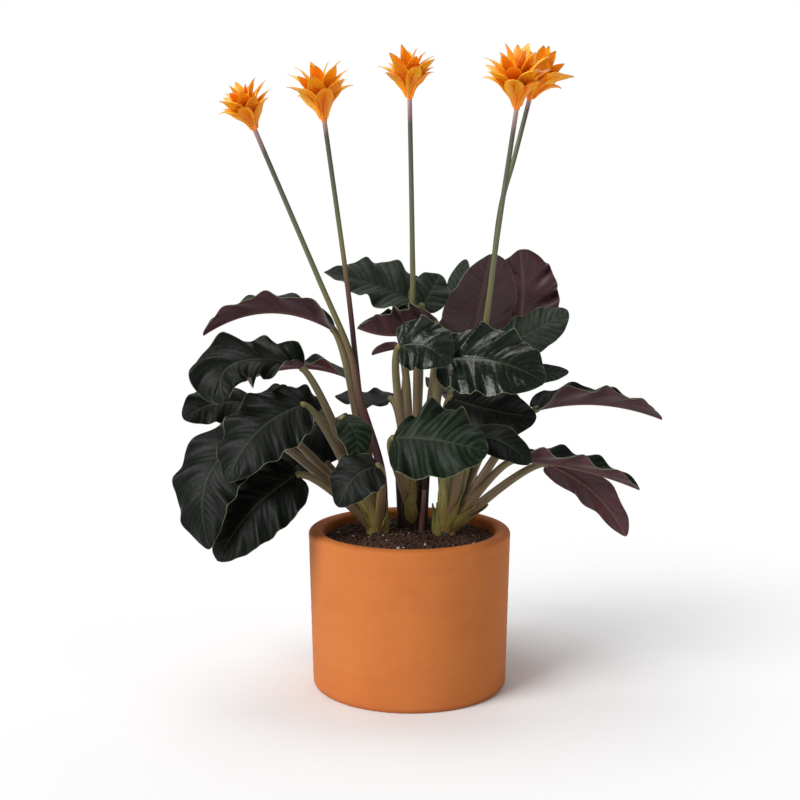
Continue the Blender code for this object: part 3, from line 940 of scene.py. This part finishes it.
def blade_list() -> list[Blade]:
    """Lists the plant's leaves.

    Returns:
        Every leaf, from left to right and then those at the back.
    """
    left, middle, right = CROWNS
    small, tiny = 0.7, 0.5
    return [
        Blade("leaf_left_arched", left, ((-57, 24, 264), (-104, 20, 277), (-153, 14, 260)), 20,
              (6, 0), (52, 38), (2.2, 3.5), -10, Top.FRESH),
        Blade("leaf_left_drooping", left,
              ((-78, -8, 238), (-106, -14, 245), (-130, -24, 240), (-131, -36, 217)), 26,
              (8, 26), (-5, 28), (4.0, 4.0), shape=(0.8, 0.5), lobe=(50, 90), peaked=0.4),
        Blade("leaf_left_far", left, ((-122, 34, 206), (-144, 26, 208), (-169, 14, 197)), 18,
              (40, 55), (5, 5), (2.0, 2.5), detail=small),
        Blade("leaf_left_broad", left, ((-76, -30, 214), (-104, -48, 200), (-127, -60, 164)), 28,
              (40, 20), (0, 8), (3.0, 4.0)),
        Blade("leaf_left_behind_broad", left, ((-66, 12, 202), (-88, 16, 213), (-114, 22, 214)),
              14, (30, 30), (5, 10), (2.0, 2.5), detail=small),
        Blade("leaf_left_back_long", left, ((-45, 44, 225), (-80, 52, 232), (-128, 52, 221)), 15,
              (-4, -12), (30, 40), (2.5, 3.0), -20, under=Under.RUBY, detail=small),
        Blade("leaf_left_hanging", left, ((-112, -28, 194), (-140, -42, 170), (-141, -56, 115)),
              27, (30, 15), (5, 5), (2.5, 4.0)),
        Blade("leaf_left_lowest", left, ((-80, -32, 164), (-110, -42, 142), (-137, -46, 104)), 26,
              (55, 40), (0, 5), (2.5, 4.5)),
        Blade("leaf_left_back_low", left, ((-62, 30, 160), (-84, 42, 171), (-106, 50, 168)), 26,
              (45, 45), (5, 5), (2.0, 2.5), detail=small),
        Blade("leaf_small_left", left, ((-48, -40, 206), (-38, -50, 194), (-39, -54, 178)), 13,
              (10, 0), (8, 8), (1.2, 2.0), top=Top.FRESH, detail=small),
        Blade("leaf_round_front", left, ((-22, -60, 175), (-38, -74, 170), (-49, -78, 150)), 19,
              (38, 20), (0, 3), (1.6, 3.0)),
        Blade("leaf_front_centre", middle, ((-12, -62, 195), (18, -78, 196), (52, -84, 189)), 29,
              (52, 44), (0, 8), (4.4, 3.3), top=Top.FRESH, lobe=(0, -40)),
        Blade("leaf_right_glossy", right, ((22, -28, 246), (58, -46, 247), (93, -56, 233)), 29,
              (44, 40), (0, 12), (2.8, 4.0), top=Top.GLOSS),
        Blade("leaf_centre_small", middle, ((-8, -34, 256), (10, -42, 257), (27, -46, 244)), 20,
              (55, 40), (0, 25), (2.5, 3.0), top=Top.GLOSS, detail=small),
        Blade("leaf_centre_rolled", middle, ((-9, -14, 254), (-18, -18, 252), (-27, -22, 249)), 5,
              (-20, -20), (60, 60), (0.5, 1.5), 30, under=Under.SHADED, detail=tiny),
        Blade("leaf_top_centre", middle, ((4, 34, 284), (-30, 34, 298), (-64, 32, 306)), 27,
              (32, 28), (10, 25), top=Top.GREY, shape=(0.42, 1.0)),
        Blade("leaf_top_folded", middle, ((18, 3, 272), (-8, -2, 262), (-38, -6, 267)), 20,
              (0, 0), (76, 84), (3.6, 3.4), -10, under=Under.SHADED, detail=small, peaked=0.5),
        Blade("leaf_top_fan", middle, ((9, 26, 281), (17, 34, 294), (23, 42, 304)), 15,
              (40, 40), (5, 15), (2.0, 2.5), top=Top.GREY, detail=small),
        Blade("leaf_back_upright", right, ((46, 68, 246), (55, 59, 284), (61, 44, 319)), 36,
              (0, 8), (6, 6), (1.6, 3.0), under=Under.SHADED),
        Blade("leaf_back_ruffled", right, ((84, 86, 247), (90, 84, 285), (86, 72, 322)), 30,
              (-10, 0), (4, 10), (4.2, 4.5), peaked=0.35),
        Blade("leaf_right_behind", right, ((71, 44, 250), (96, 48, 261), (122, 52, 276)), 18,
              (45, 50), (0, 5), (1.6, 3.0), top=Top.GREY, detail=small),
        Blade("leaf_back_tip", middle, ((36, 88, 276), (40, 94, 296), (46, 98, 314)), 9,
              (20, 20), (10, 10), (0.8, 1.5), top=Top.GREY, detail=tiny),
        Blade("leaf_right_long", right, ((94, 6, 206), (140, 12, 209), (189, 14, 197)), 20,
              (0, 0), (46, 40), (2.5, 3.5), -10, shape=(0.28, 0.62)),
        Blade("leaf_right_strip", right, ((88, 50, 224), (106, 54, 227), (124, 56, 228)), 8,
              (50, 50), (10, 10), (0.8, 1.5), top=Top.GREY, detail=tiny),
        Blade("leaf_right_lower", right, ((74, -40, 176), (115, -50, 172), (160, -58, 158)), 18,
              (0, 0), (40, 35), (2.5, 3.5), -10, under=Under.SHADED),
        Blade("leaf_right_hanging", right, ((100, -10, 168), (132, -18, 150), (157, -26, 117)), 14,
              (-80, -75), (10, 20), (1.6, 3.0), under=Under.SHADED, detail=small),
        Blade("leaf_right_shaded", right, ((30, -6, 216), (58, -20, 209), (91, -24, 204)), 23,
              (52, 48), (0, 5), (1.6, 3.0), detail=small),
        Blade("leaf_centre_pointed", right, ((45, -44, 194), (66, -56, 190), (83, -62, 177)), 12,
              (55, 50), (5, 5), (1.0, 2.0), detail=small),
        Blade("leaf_back_shaded", middle, ((-14, 48, 208), (-32, 58, 207), (-58, 62, 208)), 12,
              (25, 20), (5, 10), (1.4, 2.5), detail=tiny),
        Blade("leaf_rear_upper", right, ((33, 68, 210), (37, 98, 214), (37, 130, 194)), 23,
              (0, 0), (12, 12), (2.4, 3.5), top=Top.FRESH, detail=small),
        Blade("leaf_rear_left", left, ((-52, 68, 180), (-76, 98, 183), (-92, 130, 160)), 23,
              (0, 0), (12, 12), (2.4, 3.5), detail=small),
        Blade("leaf_rear_low", middle, ((8, 58, 160), (14, 88, 164), (20, 122, 146)), 22,
              (0, 0), (10, 10), (2.4, 3.5), top=Top.FRESH, detail=small),
    ]


@dataclass(frozen=True)
class FlowerStalk:
    """A flower stalk through its points, with the radius at its foot."""

    route: tuple[Point, ...]
    foot_radius: float
    top_radius: float = 1.7
    sides: int = 24
    rows_a_knot: int = 26

    def grow(self, form: Form, skin: Skin, own: float) -> None:
        """Adds the stalk: its radius falls from foot to top with the share left to the 1.3.

        Args:
            form: what it is added to.
            skin: its skin.
            own: a number of its own for its streaks.
        """
        count = self.rows_a_knot * len(self.route)
        left = 1 - np.linspace(0.0, 1.0, count)
        radii = self.top_radius + (self.foot_radius - self.top_radius) * left**1.3
        form.tube(spline_through(self.route, count), radii, self.sides, skin.slot, own)


STALKS = {
    "shoot_left": (
        FlowerStalk(((-20, -3, 116), (-21, -8, 162), (-36, -6, 214), (-44, -4, 250),
                     (-66, -6, 303), (-110, -10, 408)), 3.8),
        FlowerStalk(((-37, -5, 218), (-40, 2, 246), (-46, 5, 301), (-62, 12, 417)), 2.3),
    ),
    "shoot_middle": (
        FlowerStalk(((2, 16, 116), (-6, 20, 160), (-3, 21, 226), (2, 20, 285), (2, 20, 330),
                     (0, 20, 433)), 3.4),
    ),
    "shoot_right": (
        FlowerStalk(((30, 0, 116), (38, 8, 160), (48, 6, 222), (56, 4, 271), (63, 0, 330),
                     (76, -5, 424)), 3.6),
        FlowerStalk(((59, 3, 292), (66, 8, 352), (76, 12, 389), (87, 15, 432)), 2.0),
    ),
}
SPROUTS = {
    "shoot_middle": FlowerStalk(((9.0, 1.0, 111.0), (9.5, 0.0, 128.0), (11.0, -1.0, 146.0)),
                                2.6, 1.5),
}


@dataclass(frozen=True)
class Petiole:
    """A leaf's stalk from its crown to its blade, channelled, with a swollen joint."""

    blade: Blade
    foot: float = 4.2
    top: float = 2.3
    sides: int = 20
    rows: int = 60
    channel: float = 0.2
    swell: float = 0.16
    joint_length: float = 0.1
    joint_reach: float = 2.0
    sheath_length: float = 0.3
    sheath_angle: float = 130.0
    sheath_half: float = 0.35
    sheath_grid: tuple[int, int] = (18, 15)

    def path(self) -> Array:
        """Finds a cubic curve that leaves the crown steeply and meets the midrib in line.

        Returns:
            Its points.
        """
        crown = CROWNS[self.blade.crown]
        rib, ahead, _, _ = self.blade.spine(np.linspace(0.0, 1.0, 11))
        joint = rib[0] + ahead[0] * self.joint_reach
        start = np.array([*crown.centre, GROUND + CROWN_RISE * 0.4])
        outward = (joint - start) * (1.0, 1.0, 0.0)
        start = start + outward / max(1.0, np.linalg.norm(outward)) * crown.radius * 0.35
        span = np.linalg.norm(joint - start)
        one = start + (joint - start) * 0.35 + (0.0, 0.0, span * 0.06)
        two = joint - ahead[0] * min(14.0, span * 0.14)
        t = np.linspace(0.0, 1.0, self.rows)[:, None]
        return ((1 - t)**3 * start + 3 * (1 - t)**2 * t * one + 3 * (1 - t) * t**2 * two
                + t**3 * joint)

    def grow(self, form: Form, own: float) -> None:
        """Adds the stalk and its sheath.

        The stalk's radius is its taper, less a channel along its upper side, and swells at
        the joint.

        Args:
            form: what they are added to.
            own: a number of its own for its streaks.
        """
        centres = self.path()
        t = np.linspace(0.0, 1.0, self.rows)
        radii = self.foot + (self.top - self.foot) * t**0.8
        swollen = ease(t, 1 - self.joint_length, 1 - 0.4 * self.joint_length)
        radii = radii * (1 + self.swell * swollen * (1 - ease(t, 0.97, 1.0)))
        turned = np.angle(np.exp(1j * (round_angles(self.sides) - math.pi)))
        rings = radii[:, None] * (1 - self.channel * np.exp(-(turned / 0.45)**2))[None, :]
        form.tube(centres, rings, self.sides, Skin.OLIVE.slot, own)
        self.wrap(form, centres, radii, own)

    def wrap(self, form: Form, centres: Array, radii: Array, own: float) -> None:
        """Adds the sheath, an open wrap whose two edges draw together to a point.

        Its half angle is sheath_angle times 1 less the square of the way up, and it stands
        off the stalk a little more towards its edges and its point.

        Args:
            form: what it is added to.
            centres: the stalk's points.
            radii: its radius at each.
            own: the stalk's own number.
        """
        rows, columns = self.sheath_grid
        pick = np.linspace(0, int(self.sheath_length * self.rows), rows)
        place, around = (np.stack([np.interp(pick, np.arange(self.rows), line) for line in lines],
                                  axis=-1) for lines in (centres.T, [radii]))
        across, other = (way[:, None] for way in square_ways(place))
        share = np.linspace(0.0, 1.0, rows)[:, None, None]
        spread = np.linspace(-1.0, 1.0, columns)[None, :, None]
        angle = math.radians(self.sheath_angle) * (1 - share**2) + 0.05
        angle = angle * spread + 2.5 * own
        way = np.cos(angle) * across + np.sin(angle) * other
        out = around[:, None] + 0.5 + 0.5 * share + 0.5 * np.abs(spread)**3
        outer, inner = (place[:, None] + way * (out + half)
                        for half in (self.sheath_half, -self.sheath_half))
        form.sheet(outer, inner, side_by_side(share, spread, own), [Skin.SHEATH.slot] * 3, True)


@dataclass(frozen=True)
class BasesAndShadeStubs:
    """Short pointed stalks that stand close round a crown: old leaf bases, and dark stubs that
    fill the plant's shaded centre as painted shade.
    """

    count: int
    ring: float
    height: Pair
    radius: float
    skin: Skin
    sides: int = 14
    rows: int = 16
    depth: float = 3.0

    def grow(self, form: Form, crown: Crown) -> None:
        """Adds them: each leans out a little and its radius falls with the way up to the 1.6.

        Args:
            form: what they are added to.
            crown: the crown that they stand round.
        """
        low, high = self.height
        t = np.linspace(0.0, 1.0, self.rows)[:, None]
        radii = self.radius * (1 - 0.85 * t[:, 0]**1.6)
        for k in range(self.count):
            angle = 2.4 * k + 0.6
            outward = np.array([math.cos(angle), math.sin(angle), 0.0])
            away = self.ring * (0.55 + 0.45 * ((0.618 * k) % 1.0))
            foot = np.array([*crown.centre, GROUND - self.depth]) + outward * away
            rise = low + (high - low) * ((0.37 * k + 0.2) % 1.0)
            centres = foot + outward * rise * 0.10 * t**1.5 + np.array([0.0, 0.0, rise]) * t
            form.tube(centres, radii, self.sides, self.skin.slot, (0.41 * k) % 1.0)


BASES_AND_SHADE_STUBS = {
    "shoot_left": (BasesAndShadeStubs(5, 9.0, (14.0, 30.0), 3.2, Skin.SHEATH),),
    # The thirteen tall crown-brown stubs stand where the plant's centre lies in shadow: painted
    # shade in place of the shaded stalks there.
    "shoot_middle": (BasesAndShadeStubs(13, 11.5, (30.0, 75.0), 3.6, Skin.CROWN),
                     BasesAndShadeStubs(4, 8.0, (14.0, 26.0), 3.4, Skin.SHEATH)),
    "shoot_right": (BasesAndShadeStubs(5, 9.0, (14.0, 34.0), 3.2, Skin.SHEATH),),
}


@dataclass(frozen=True)
class Shoot:
    """One shoot: a crown in the soil with its leaf stalks, sheaths and flower stalks."""

    name: str
    leaves: tuple[Blade, ...]
    crown_heights: tuple[float, ...] = (-16.0, -2.0, 3.0, CROWN_RISE)
    crown_widths: tuple[float, ...] = (0.95, 0.85, 0.7, 0.4)
    crown_sides: int = 24

    def build(self) -> None:
        """Makes the shoot as one piece of several skins."""
        form = Form()
        crown = CROWNS[self.name]
        centres = np.array([[*crown.centre, GROUND + z] for z in self.crown_heights])
        radii = crown.radius * np.array(self.crown_widths)
        form.tube(centres, radii, self.crown_sides, Skin.CROWN.slot, 0.0)
        for k, leaf in enumerate(self.leaves):
            Petiole(leaf).grow(form, (0.37 * k + 0.11) % 1.0)
        for k, stalk in enumerate(STALKS[self.name]):
            stalk.grow(form, Skin.STALK, 0.3 * k)
        for bases in BASES_AND_SHADE_STUBS[self.name]:
            bases.grow(form, crown)
        if self.name in SPROUTS:
            SPROUTS[self.name].grow(form, Skin.SPROUT, 0.5)
        form.piece(f"{self.name}_stems", tuple(Skin), "stem_green", self.name)


@dataclass(frozen=True)
class BractRing:
    """One ring of bracts: how many, where the first is, its keel and its half width."""

    count: int
    offset: float
    keel: tuple[Pair, ...]
    width: float


BRACT_RINGS = (
    BractRing(5, 0, ((1.7, 0.5), (3.4, 7.5), (6.8, 14.0), (12.5, 18.0), (20.5, 18.5)), 6.6),
    BractRing(5, 36, ((1.6, 3.0), (3.8, 11.0), (8.0, 18.5), (14.5, 22.5), (22.5, 24.0)), 6.4),
    BractRing(5, 12, ((1.4, 6.0), (3.6, 15.0), (7.2, 22.0), (12.5, 26.5), (19.5, 29.5)), 5.8),
    BractRing(4, 50, ((1.0, 8.0), (2.6, 18.0), (5.4, 25.0), (9.0, 30.0), (14.5, 33.5)), 5.2),
    BractRing(3, 20, ((0.6, 10.0), (1.2, 20.0), (2.4, 27.0), (4.2, 31.5), (7.5, 36.0)), 4.6),
)


@dataclass(frozen=True)
class FlowerHead:
    """A flame of pointed bracts on the end of a stalk."""

    name: str
    foot: Point
    lean: Point
    size: float
    turned: float
    rows: int = 26
    columns: int = 11
    thick: float = 0.55
    widths: tuple[float, ...] = (0.34, 0.56, 0.84, 1.00, 0.96, 0.68, 0.06)
    least_width: float = 0.04
    core_heights: tuple[float, ...] = (-1.5, 1.0, 5.0, 11.0, 17.0, 22.0)
    core_radii: tuple[float, ...] = (1.75, 2.1, 3.0, 4.6, 5.0, 2.5)
    core_sides: int = 18

    def bract(self, form: Form, ring: BractRing, k: int, axis: Array, aside: Array) -> None:
        """Adds one bract.

        Across, it is a shallow arc hollow towards the axis: depth is the square of the way
        out over twice the radius of its hollow. Its edges ripple with a sine of the length.

        Args:
            form: what it is added to.
            ring: the ring that it is in.
            k: its number in the ring.
            axis: the way up through the head.
            aside: a way square to it.
        """
        uneven = math.sin(2.4 * k + 0.7 * ring.offset + self.turned)
        angle = math.radians(self.turned + ring.offset + 360.0 * k / ring.count + 7.0 * uneven)
        out = aside * math.cos(angle) + np.cross(axis, aside) * math.sin(angle)
        t = np.linspace(0.0, 1.0, self.rows)
        path = curve_through(ring.keel, t) * self.size * (1.0 + 0.07 * uneven)
        spine = np.array(self.foot) + out * path[:, :1] + axis * path[:, 1:]
        knots = np.linspace(0.0, 1.0, len(self.widths))
        shape = spline_through(np.column_stack([knots, self.widths]), self.rows)[:, 1]
        wide = (np.maximum(shape, self.least_width) * ring.width * self.size)[:, None, None]
        round_way = np.cross(axis, out)
        ahead = unit(np.gradient(spine, axis=0))
        outer_way = np.cross(ahead, round_way)[:, None, :]
        s = np.linspace(-1.0, 1.0, self.columns)[None, :, None]
        t = t[:, None, None]
        hollow = (5.5 + 5.0 * t) * self.size
        depth = (wide * s)**2 / (2 * hollow)
        ripple = 0.5 * np.sin(9.0 * t + 2.0 * uneven + 1.5 * s) * s**2 * np.sin(math.pi * t)
        crease = 0.45 * np.exp(-(s / 0.18)**2) * (1 - t)
        middle = (spine[:, None, :] + round_way * wide * s * (1 - 0.12 * s**2)
                  + outer_way * (crease + ripple - depth))
        half = outer_way * (self.thick * (1 - 0.45 * np.abs(s)**3) * (1 - 0.5 * t)) / 2
        growth = side_by_side(t, np.abs(s), 0.5 + 0.5 * uneven)
        form.sheet(middle + half, middle - half, growth, (0, 0, 0))

    def build(self) -> None:
        """Makes the head: a core, and the rings of bracts that flare from it."""
        axis = unit(np.array(self.lean))
        aside = unit(np.cross(axis, (0.0, 1.0, 0.0)))
        heights, radii = np.array([self.core_heights, self.core_radii]) * self.size
        form = Form()
        form.tube(np.array(self.foot) + axis * heights[:, None], radii, self.core_sides, 0, 0.0,
                  (0.3, 0.0))
        for ring in BRACT_RINGS:
            for k in range(ring.count):
                self.bract(form, ring, k, axis, aside)
        form.piece(f"{self.name}_bracts", (Bract(),), "bract_orange", self.name)


FLOWER_HEADS = (
    FlowerHead("bloom_far_left", (-110, -10, 408), (-0.36, -0.1, 1.0), 0.93, 14),
    FlowerHead("bloom_left", (-62, 12, 417), (-0.12, 0.0, 1.0), 1.12, 40),
    FlowerHead("bloom_middle", (0, 20, 433), (-0.05, 0.0, 1.0), 0.98, 31),
    FlowerHead("bloom_right_front", (76, -5, 424), (-0.04, -0.3, 1.0), 1.18, 0),
    FlowerHead("bloom_right_back", (87, 15, 432), (0.40, 0.25, 1.0), 1.03, 56),
)


@dataclass(frozen=True)
class Pot:
    """The thrown pot: straight sides that widen a little, a round lip and drain holes."""

    height: float = 118.0
    radius: float = 75.0
    foot_radius: float = 72.3
    wall: float = 11.0
    floor: float = 12.0
    flat: float = 30.0
    lip_rise: float = 4.2
    drain_radius: float = 6.0
    drain_circle: float = 40.0
    drains: int = 3
    drain_sides: int = 40
    sides: int = 180

    def profile(self) -> Array:
        """The pot's section from the middle of its underside out, up and in again.

        The side runs straight from foot to lip, with turning marks as a product of two
        sines of the height, and the lip is half a round.

        Returns:
            Its points, as ways out and heights.
        """
        inner = self.radius - self.wall
        lip_angles = np.linspace(0.0, math.pi, 15)
        lip_half = self.wall / 2
        lip = np.column_stack([
            self.radius - lip_half + lip_half * np.cos(lip_angles),
            self.height - self.lip_rise + self.lip_rise * np.sin(lip_angles)**0.8])
        heights = np.linspace(4.0, self.height - 6.0, 46)
        share = heights / self.height
        side = np.column_stack([self.foot_radius + (self.radius - self.foot_radius) * share
                                + 0.10 * np.sin(heights * 0.9) * np.sin(heights * 0.23), heights])
        foot = [(0.0, 0.0), (self.flat, 0.0), (self.foot_radius - 2.4, 0.0),
                (self.foot_radius - 1.3, 0.5), (self.foot_radius - 0.4, 1.6),
                (self.foot_radius, 2.8)]
        inside = [(inner - 0.2, self.height - 12.0), (inner - 1.2, self.floor + 4.0),
                  (inner - 4.5, self.floor), (self.flat, self.floor), (0.0, self.floor)]
        return np.concatenate([foot, side, lip, inside])

    def build(self) -> None:
        """Makes the pot: the profile turned about Z, then the drain holes cut out."""
        profile = self.profile()
        angles = round_angles(self.sides)
        out, up = profile[1:-1, :1], profile[1:-1, 1:]
        turned = np.stack(np.broadcast_arrays(out * np.cos(angles), out * np.sin(angles), up),
                          axis=-1)
        points = np.concatenate([turned.reshape(-1, 3), [[0.0, 0.0, profile[0, 1]]],
                                 [[0.0, 0.0, profile[-1, 1]]]])
        form = Form()
        form.add(points, np.zeros(3), closed_rings(len(out), self.sides), [0] * 3)
        self.drain(form.piece("terracotta_pot", (Terracotta(),), "terracotta", "pot"))

    def drain(self, body: bpy.types.Object) -> None:
        """Cuts the drain holes through the floor and keeps the result as the pot's mesh.

        Args:
            body: the pot.
        """
        cutters = []
        for k in range(self.drains):
            angle = 2 * math.pi * (k + 0.25) / self.drains
            x, y = (self.drain_circle * f(angle) for f in (math.cos, math.sin))
            centres = np.array([[x, y, z] for z in (-5.0, 2.0, 10.0, self.floor + 5.0)])
            radii = np.full(len(centres), self.drain_radius)
            points, _, faces = tube_shell(centres, radii, self.drain_sides)
            mesh = bpy.data.meshes.new("drain")
            listed = [face for block in faces for face in block.tolist()]
            mesh.from_pydata((points * MM).tolist(), [], listed)
            cutters.append(put("drain", mesh))
            cut = body.modifiers.new("drain", "BOOLEAN")
            cut.operation = "DIFFERENCE"
            cut.object = cutters[-1]
        graph = bpy.context.evaluated_depsgraph_get()
        whole = bpy.data.meshes.new_from_object(body.evaluated_get(graph))
        body.modifiers.clear()
        body.data = whole
        for cutter in cutters:
            bpy.data.objects.remove(cutter)


@dataclass(frozen=True)
class Soil:
    """Heaped potting soil: a lumpy surface, loose crumbs and grains of perlite."""

    radius: float = 63.2
    edge: float = 110.0
    rise: float = 4.0
    bottom: float = 12.6
    sides: int = 220
    rows: int = 64
    lumps: tuple[Pair, ...] = ((0.9, 9.0), (0.75, 3.6), (0.5, 1.7))
    crumbs: int = 2600
    crumb_size: Pair = (0.5, 1.7)
    grains: int = 60
    grain_size: Pair = (0.5, 1.35)
    seed: int = 7

    def height(self, x: Array, y: Array) -> Array:
        """The surface: a mound of 1 less the square of the way out, and noise of three sizes.

        Args:
            x: ways to the right.
            y: ways to the back.

        Returns:
            The height at each place.
        """
        away = np.hypot(x, y) / self.radius
        place = np.stack([x, y, np.zeros_like(x)], axis=-1)
        lumps = sum(deep * noise(place, size, seed)
                    for seed, (deep, size) in enumerate(self.lumps, start=1))
        return self.edge + self.rise * (1 - away**2) + lumps * (1 - 0.5 * away**8)

    def ball(self) -> tuple[Array, Array]:
        """Makes a ball of 20 faces: the corners of three golden rectangles at right angles.

        Returns:
            Its points and its triangles, each of three points that are next to each other.
        """
        golden = (1 + math.sqrt(5)) / 2
        card = [(-1, golden, 0), (1, golden, 0), (-1, -golden, 0), (1, -golden, 0)]
        points = unit(np.concatenate([np.roll(card, k, axis=1) for k in range(3)]))
        near = points @ points.T > 0
        trios = [list(trio) for trio in combinations(range(len(points)), 3)
                 if all(near[pair] for pair in combinations(trio, 2))]
        faces = [trio if np.linalg.det(points[trio]) > 0 else trio[::-1] for trio in trios]
        return points, np.array(faces)

    def scatter(self, form: Form, draw: np.random.Generator, count: int, size: Pair,
                slot: int) -> None:
        """Scatters uneven balls over the surface, half sunk.

        Args:
            form: what they are added to.
            draw: the seeded random draw.
            count: how many.
            size: smallest and largest radius.
            slot: their material slot.
        """
        ball, faces = self.ball()
        away = (self.radius - 1.5) * np.sqrt(draw.random(count))
        angle = 2 * math.pi * draw.random(count)
        x, y = away * np.cos(angle), away * np.sin(angle)
        radius = size[0] + (size[1] - size[0]) * draw.random(count)**2
        stretch = 0.6 + 0.8 * draw.random((count, 1, 3))
        rough = 1 + 0.28 * (draw.random((count, len(ball), 1)) - 0.5)
        centres = np.stack([x, y, self.height(x, y) + 0.25 * radius], axis=-1)
        points = centres[:, None] + ball[None] * stretch * rough * radius[:, None, None]
        offsets = np.arange(count)[:, None, None] * len(ball)
        form.add(points, np.zeros(3), [(faces[None] + offsets).reshape(-1, 3)], [slot])

    def build(self) -> None:
        """Makes the soil with its crumbs and grains."""
        angles = round_angles(self.sides)
        away = self.radius * np.linspace(0.012, 1.0, self.rows)[:, None]
        x, y = away * np.cos(angles), away * np.sin(angles)
        top = np.stack([x, y, self.height(x, y)], axis=-1)
        wall = np.stack([np.stack([x[-1] * r, y[-1] * r, np.full(self.sides, z)], axis=-1)
                         for r, z in ((1.0, 60.0), (0.985, 17.0), (0.92, self.bottom))])
        points = np.concatenate([top.reshape(-1, 3), wall.reshape(-1, 3),
                                 [[0.0, 0.0, self.height(np.zeros(1), np.zeros(1))[0]]],
                                 [[0.0, 0.0, self.bottom]]])
        form = Form()
        faces = closed_rings(self.rows + len(wall), self.sides)
        form.add(points, np.zeros(3), faces, [0] * 3, flipped=True)
        draw = np.random.default_rng(self.seed)
        self.scatter(form, draw, self.crumbs, self.crumb_size, 0)
        self.scatter(form, draw, self.grains, self.grain_size, 1)
        form.piece("potting_soil", tuple(Bed), "potting_soil", "soil")


@dataclass(frozen=True)
class Studio:
    """A pale floor, soft lights and the camera, in metres and radians."""

    floor: Colour = (0.94, 0.94, 0.94)
    camera_place: Point = (-0.00705, -0.950, 0.3388)
    camera_pitch: float = 0.1312
    focal_pixels: float = 1301.6
    image_width: float = 800.0
    sensor: float = 36.0
    floor_half: float = 3.0
    floor_fade: Pair = (0.10, 0.55)
    middle: Point = (0.0, 0.0, 0.22)
    backdrop: float = 1.0
    surround: float = 0.24

    def light(self, name: str, kind: str, place: Point, energy: float, **settings: float) -> None:
        """Hangs a light that looks at the plant's middle.

        Args:
            name: its name.
            kind: SUN, which lights the whole floor evenly, or AREA, a square.
            place: where it hangs.
            energy: its strength.
            **settings: a sun's angle or an area's size.
        """
        lamp = bpy.data.lights.new(name, kind)
        lamp.energy = energy
        for key, value in settings.items():
            setattr(lamp, key, value)
        made = put(name, lamp)
        made.location = place
        look = np.array(self.middle) - np.array(place)
        pitch = math.acos(-look[2] / np.linalg.norm(look))
        made.rotation_euler = (pitch, 0.0, math.atan2(look[1], look[0]) - math.pi / 2)

    def ground(self) -> bpy.types.Material:
        """The floor's finish, pale round the pot and as bright as the backdrop further off.

        Returns:
            The material.
        """
        graph = Graph("studio_floor")
        start, end = self.floor_fade
        away = graph.node("VectorMath", {0: graph.place}, operation="LENGTH").outputs["Value"]
        share = graph.ramp(away, (start, 0.0), (end, 1.0))
        return graph.finished({
            "Base Color": graph.blend(share, self.floor, BLACK), "Roughness": 0.9,
            "Emission Color": graph.blend(share, BLACK, (self.backdrop,) * 3),
            "Emission Strength": 1.0, "Specular IOR Level": 0.0})

    def world(self) -> bpy.types.World:
        """Makes the surroundings, white to the camera and dimmer as light.

        Returns:
            The world.
        """
        world = bpy.data.worlds.new("studio")
        world.use_nodes = True
        tree = world.node_tree
        seen = tree.nodes.new("ShaderNodeLightPath").outputs["Is Camera Ray"]
        strength = tree.nodes.new("ShaderNodeMapRange")
        strength.inputs["To Min"].default_value = self.surround
        strength.inputs["To Max"].default_value = self.backdrop
        tree.links.new(seen, strength.inputs["Value"])
        tree.links.new(strength.outputs["Result"], tree.nodes["Background"].inputs["Strength"])
        tree.nodes["Background"].inputs["Color"].default_value = (1.0, 1.0, 1.0, 1.0)
        return world

    def build(self) -> None:
        """Makes the floor, the lights and the camera."""
        mesh = bpy.data.meshes.new("studio_floor")
        half = self.floor_half
        mesh.from_pydata([(-half, -half, 0.0), (half, -half, 0.0), (half, half, 0.0),
                          (-half, half, 0.0)], [], [(0, 1, 2, 3)])
        mesh.materials.append(self.ground())
        put("studio_floor", mesh)
        bpy.context.scene.world = self.world()
        self.light("key", "SUN", (-1.5, -1.2, 1.5), 2.7, angle=math.radians(34))
        self.light("fill", "SUN", (1.5, -1.0, 1.0), 0.22, angle=math.radians(60))
        self.light("back", "SUN", (0.6, 1.6, 1.4), 0.35, angle=math.radians(50))
        self.light("top", "AREA", (-0.2, 0.3, 1.5), 7.0, size=0.7)
        lens = bpy.data.cameras.new("photo_camera")
        lens.sensor_width = self.sensor
        lens.lens = self.focal_pixels / self.image_width * self.sensor
        camera = put("photo_camera", lens)
        camera.location = self.camera_place
        camera.rotation_euler = (math.pi / 2 - self.camera_pitch, 0.0, 0.0)
        bpy.context.scene.camera = camera


def main() -> None:
    """Builds the studio and every piece of the plant and its pot."""
    logging.basicConfig(level=logging.INFO, format="%(name)s: %(message)s")
    bpy.context.scene.view_settings.view_transform = "Standard"
    Studio().build()
    Pot().build()
    Soil().build()
    leaves = blade_list()
    for leaf in leaves:
        leaf.build()
    for name in CROWNS:
        Shoot(name, tuple(leaf for leaf in leaves if leaf.crown == name)).build()
    for head in FLOWER_HEADS:
        head.build()


if __name__ == "__main__":
    main()
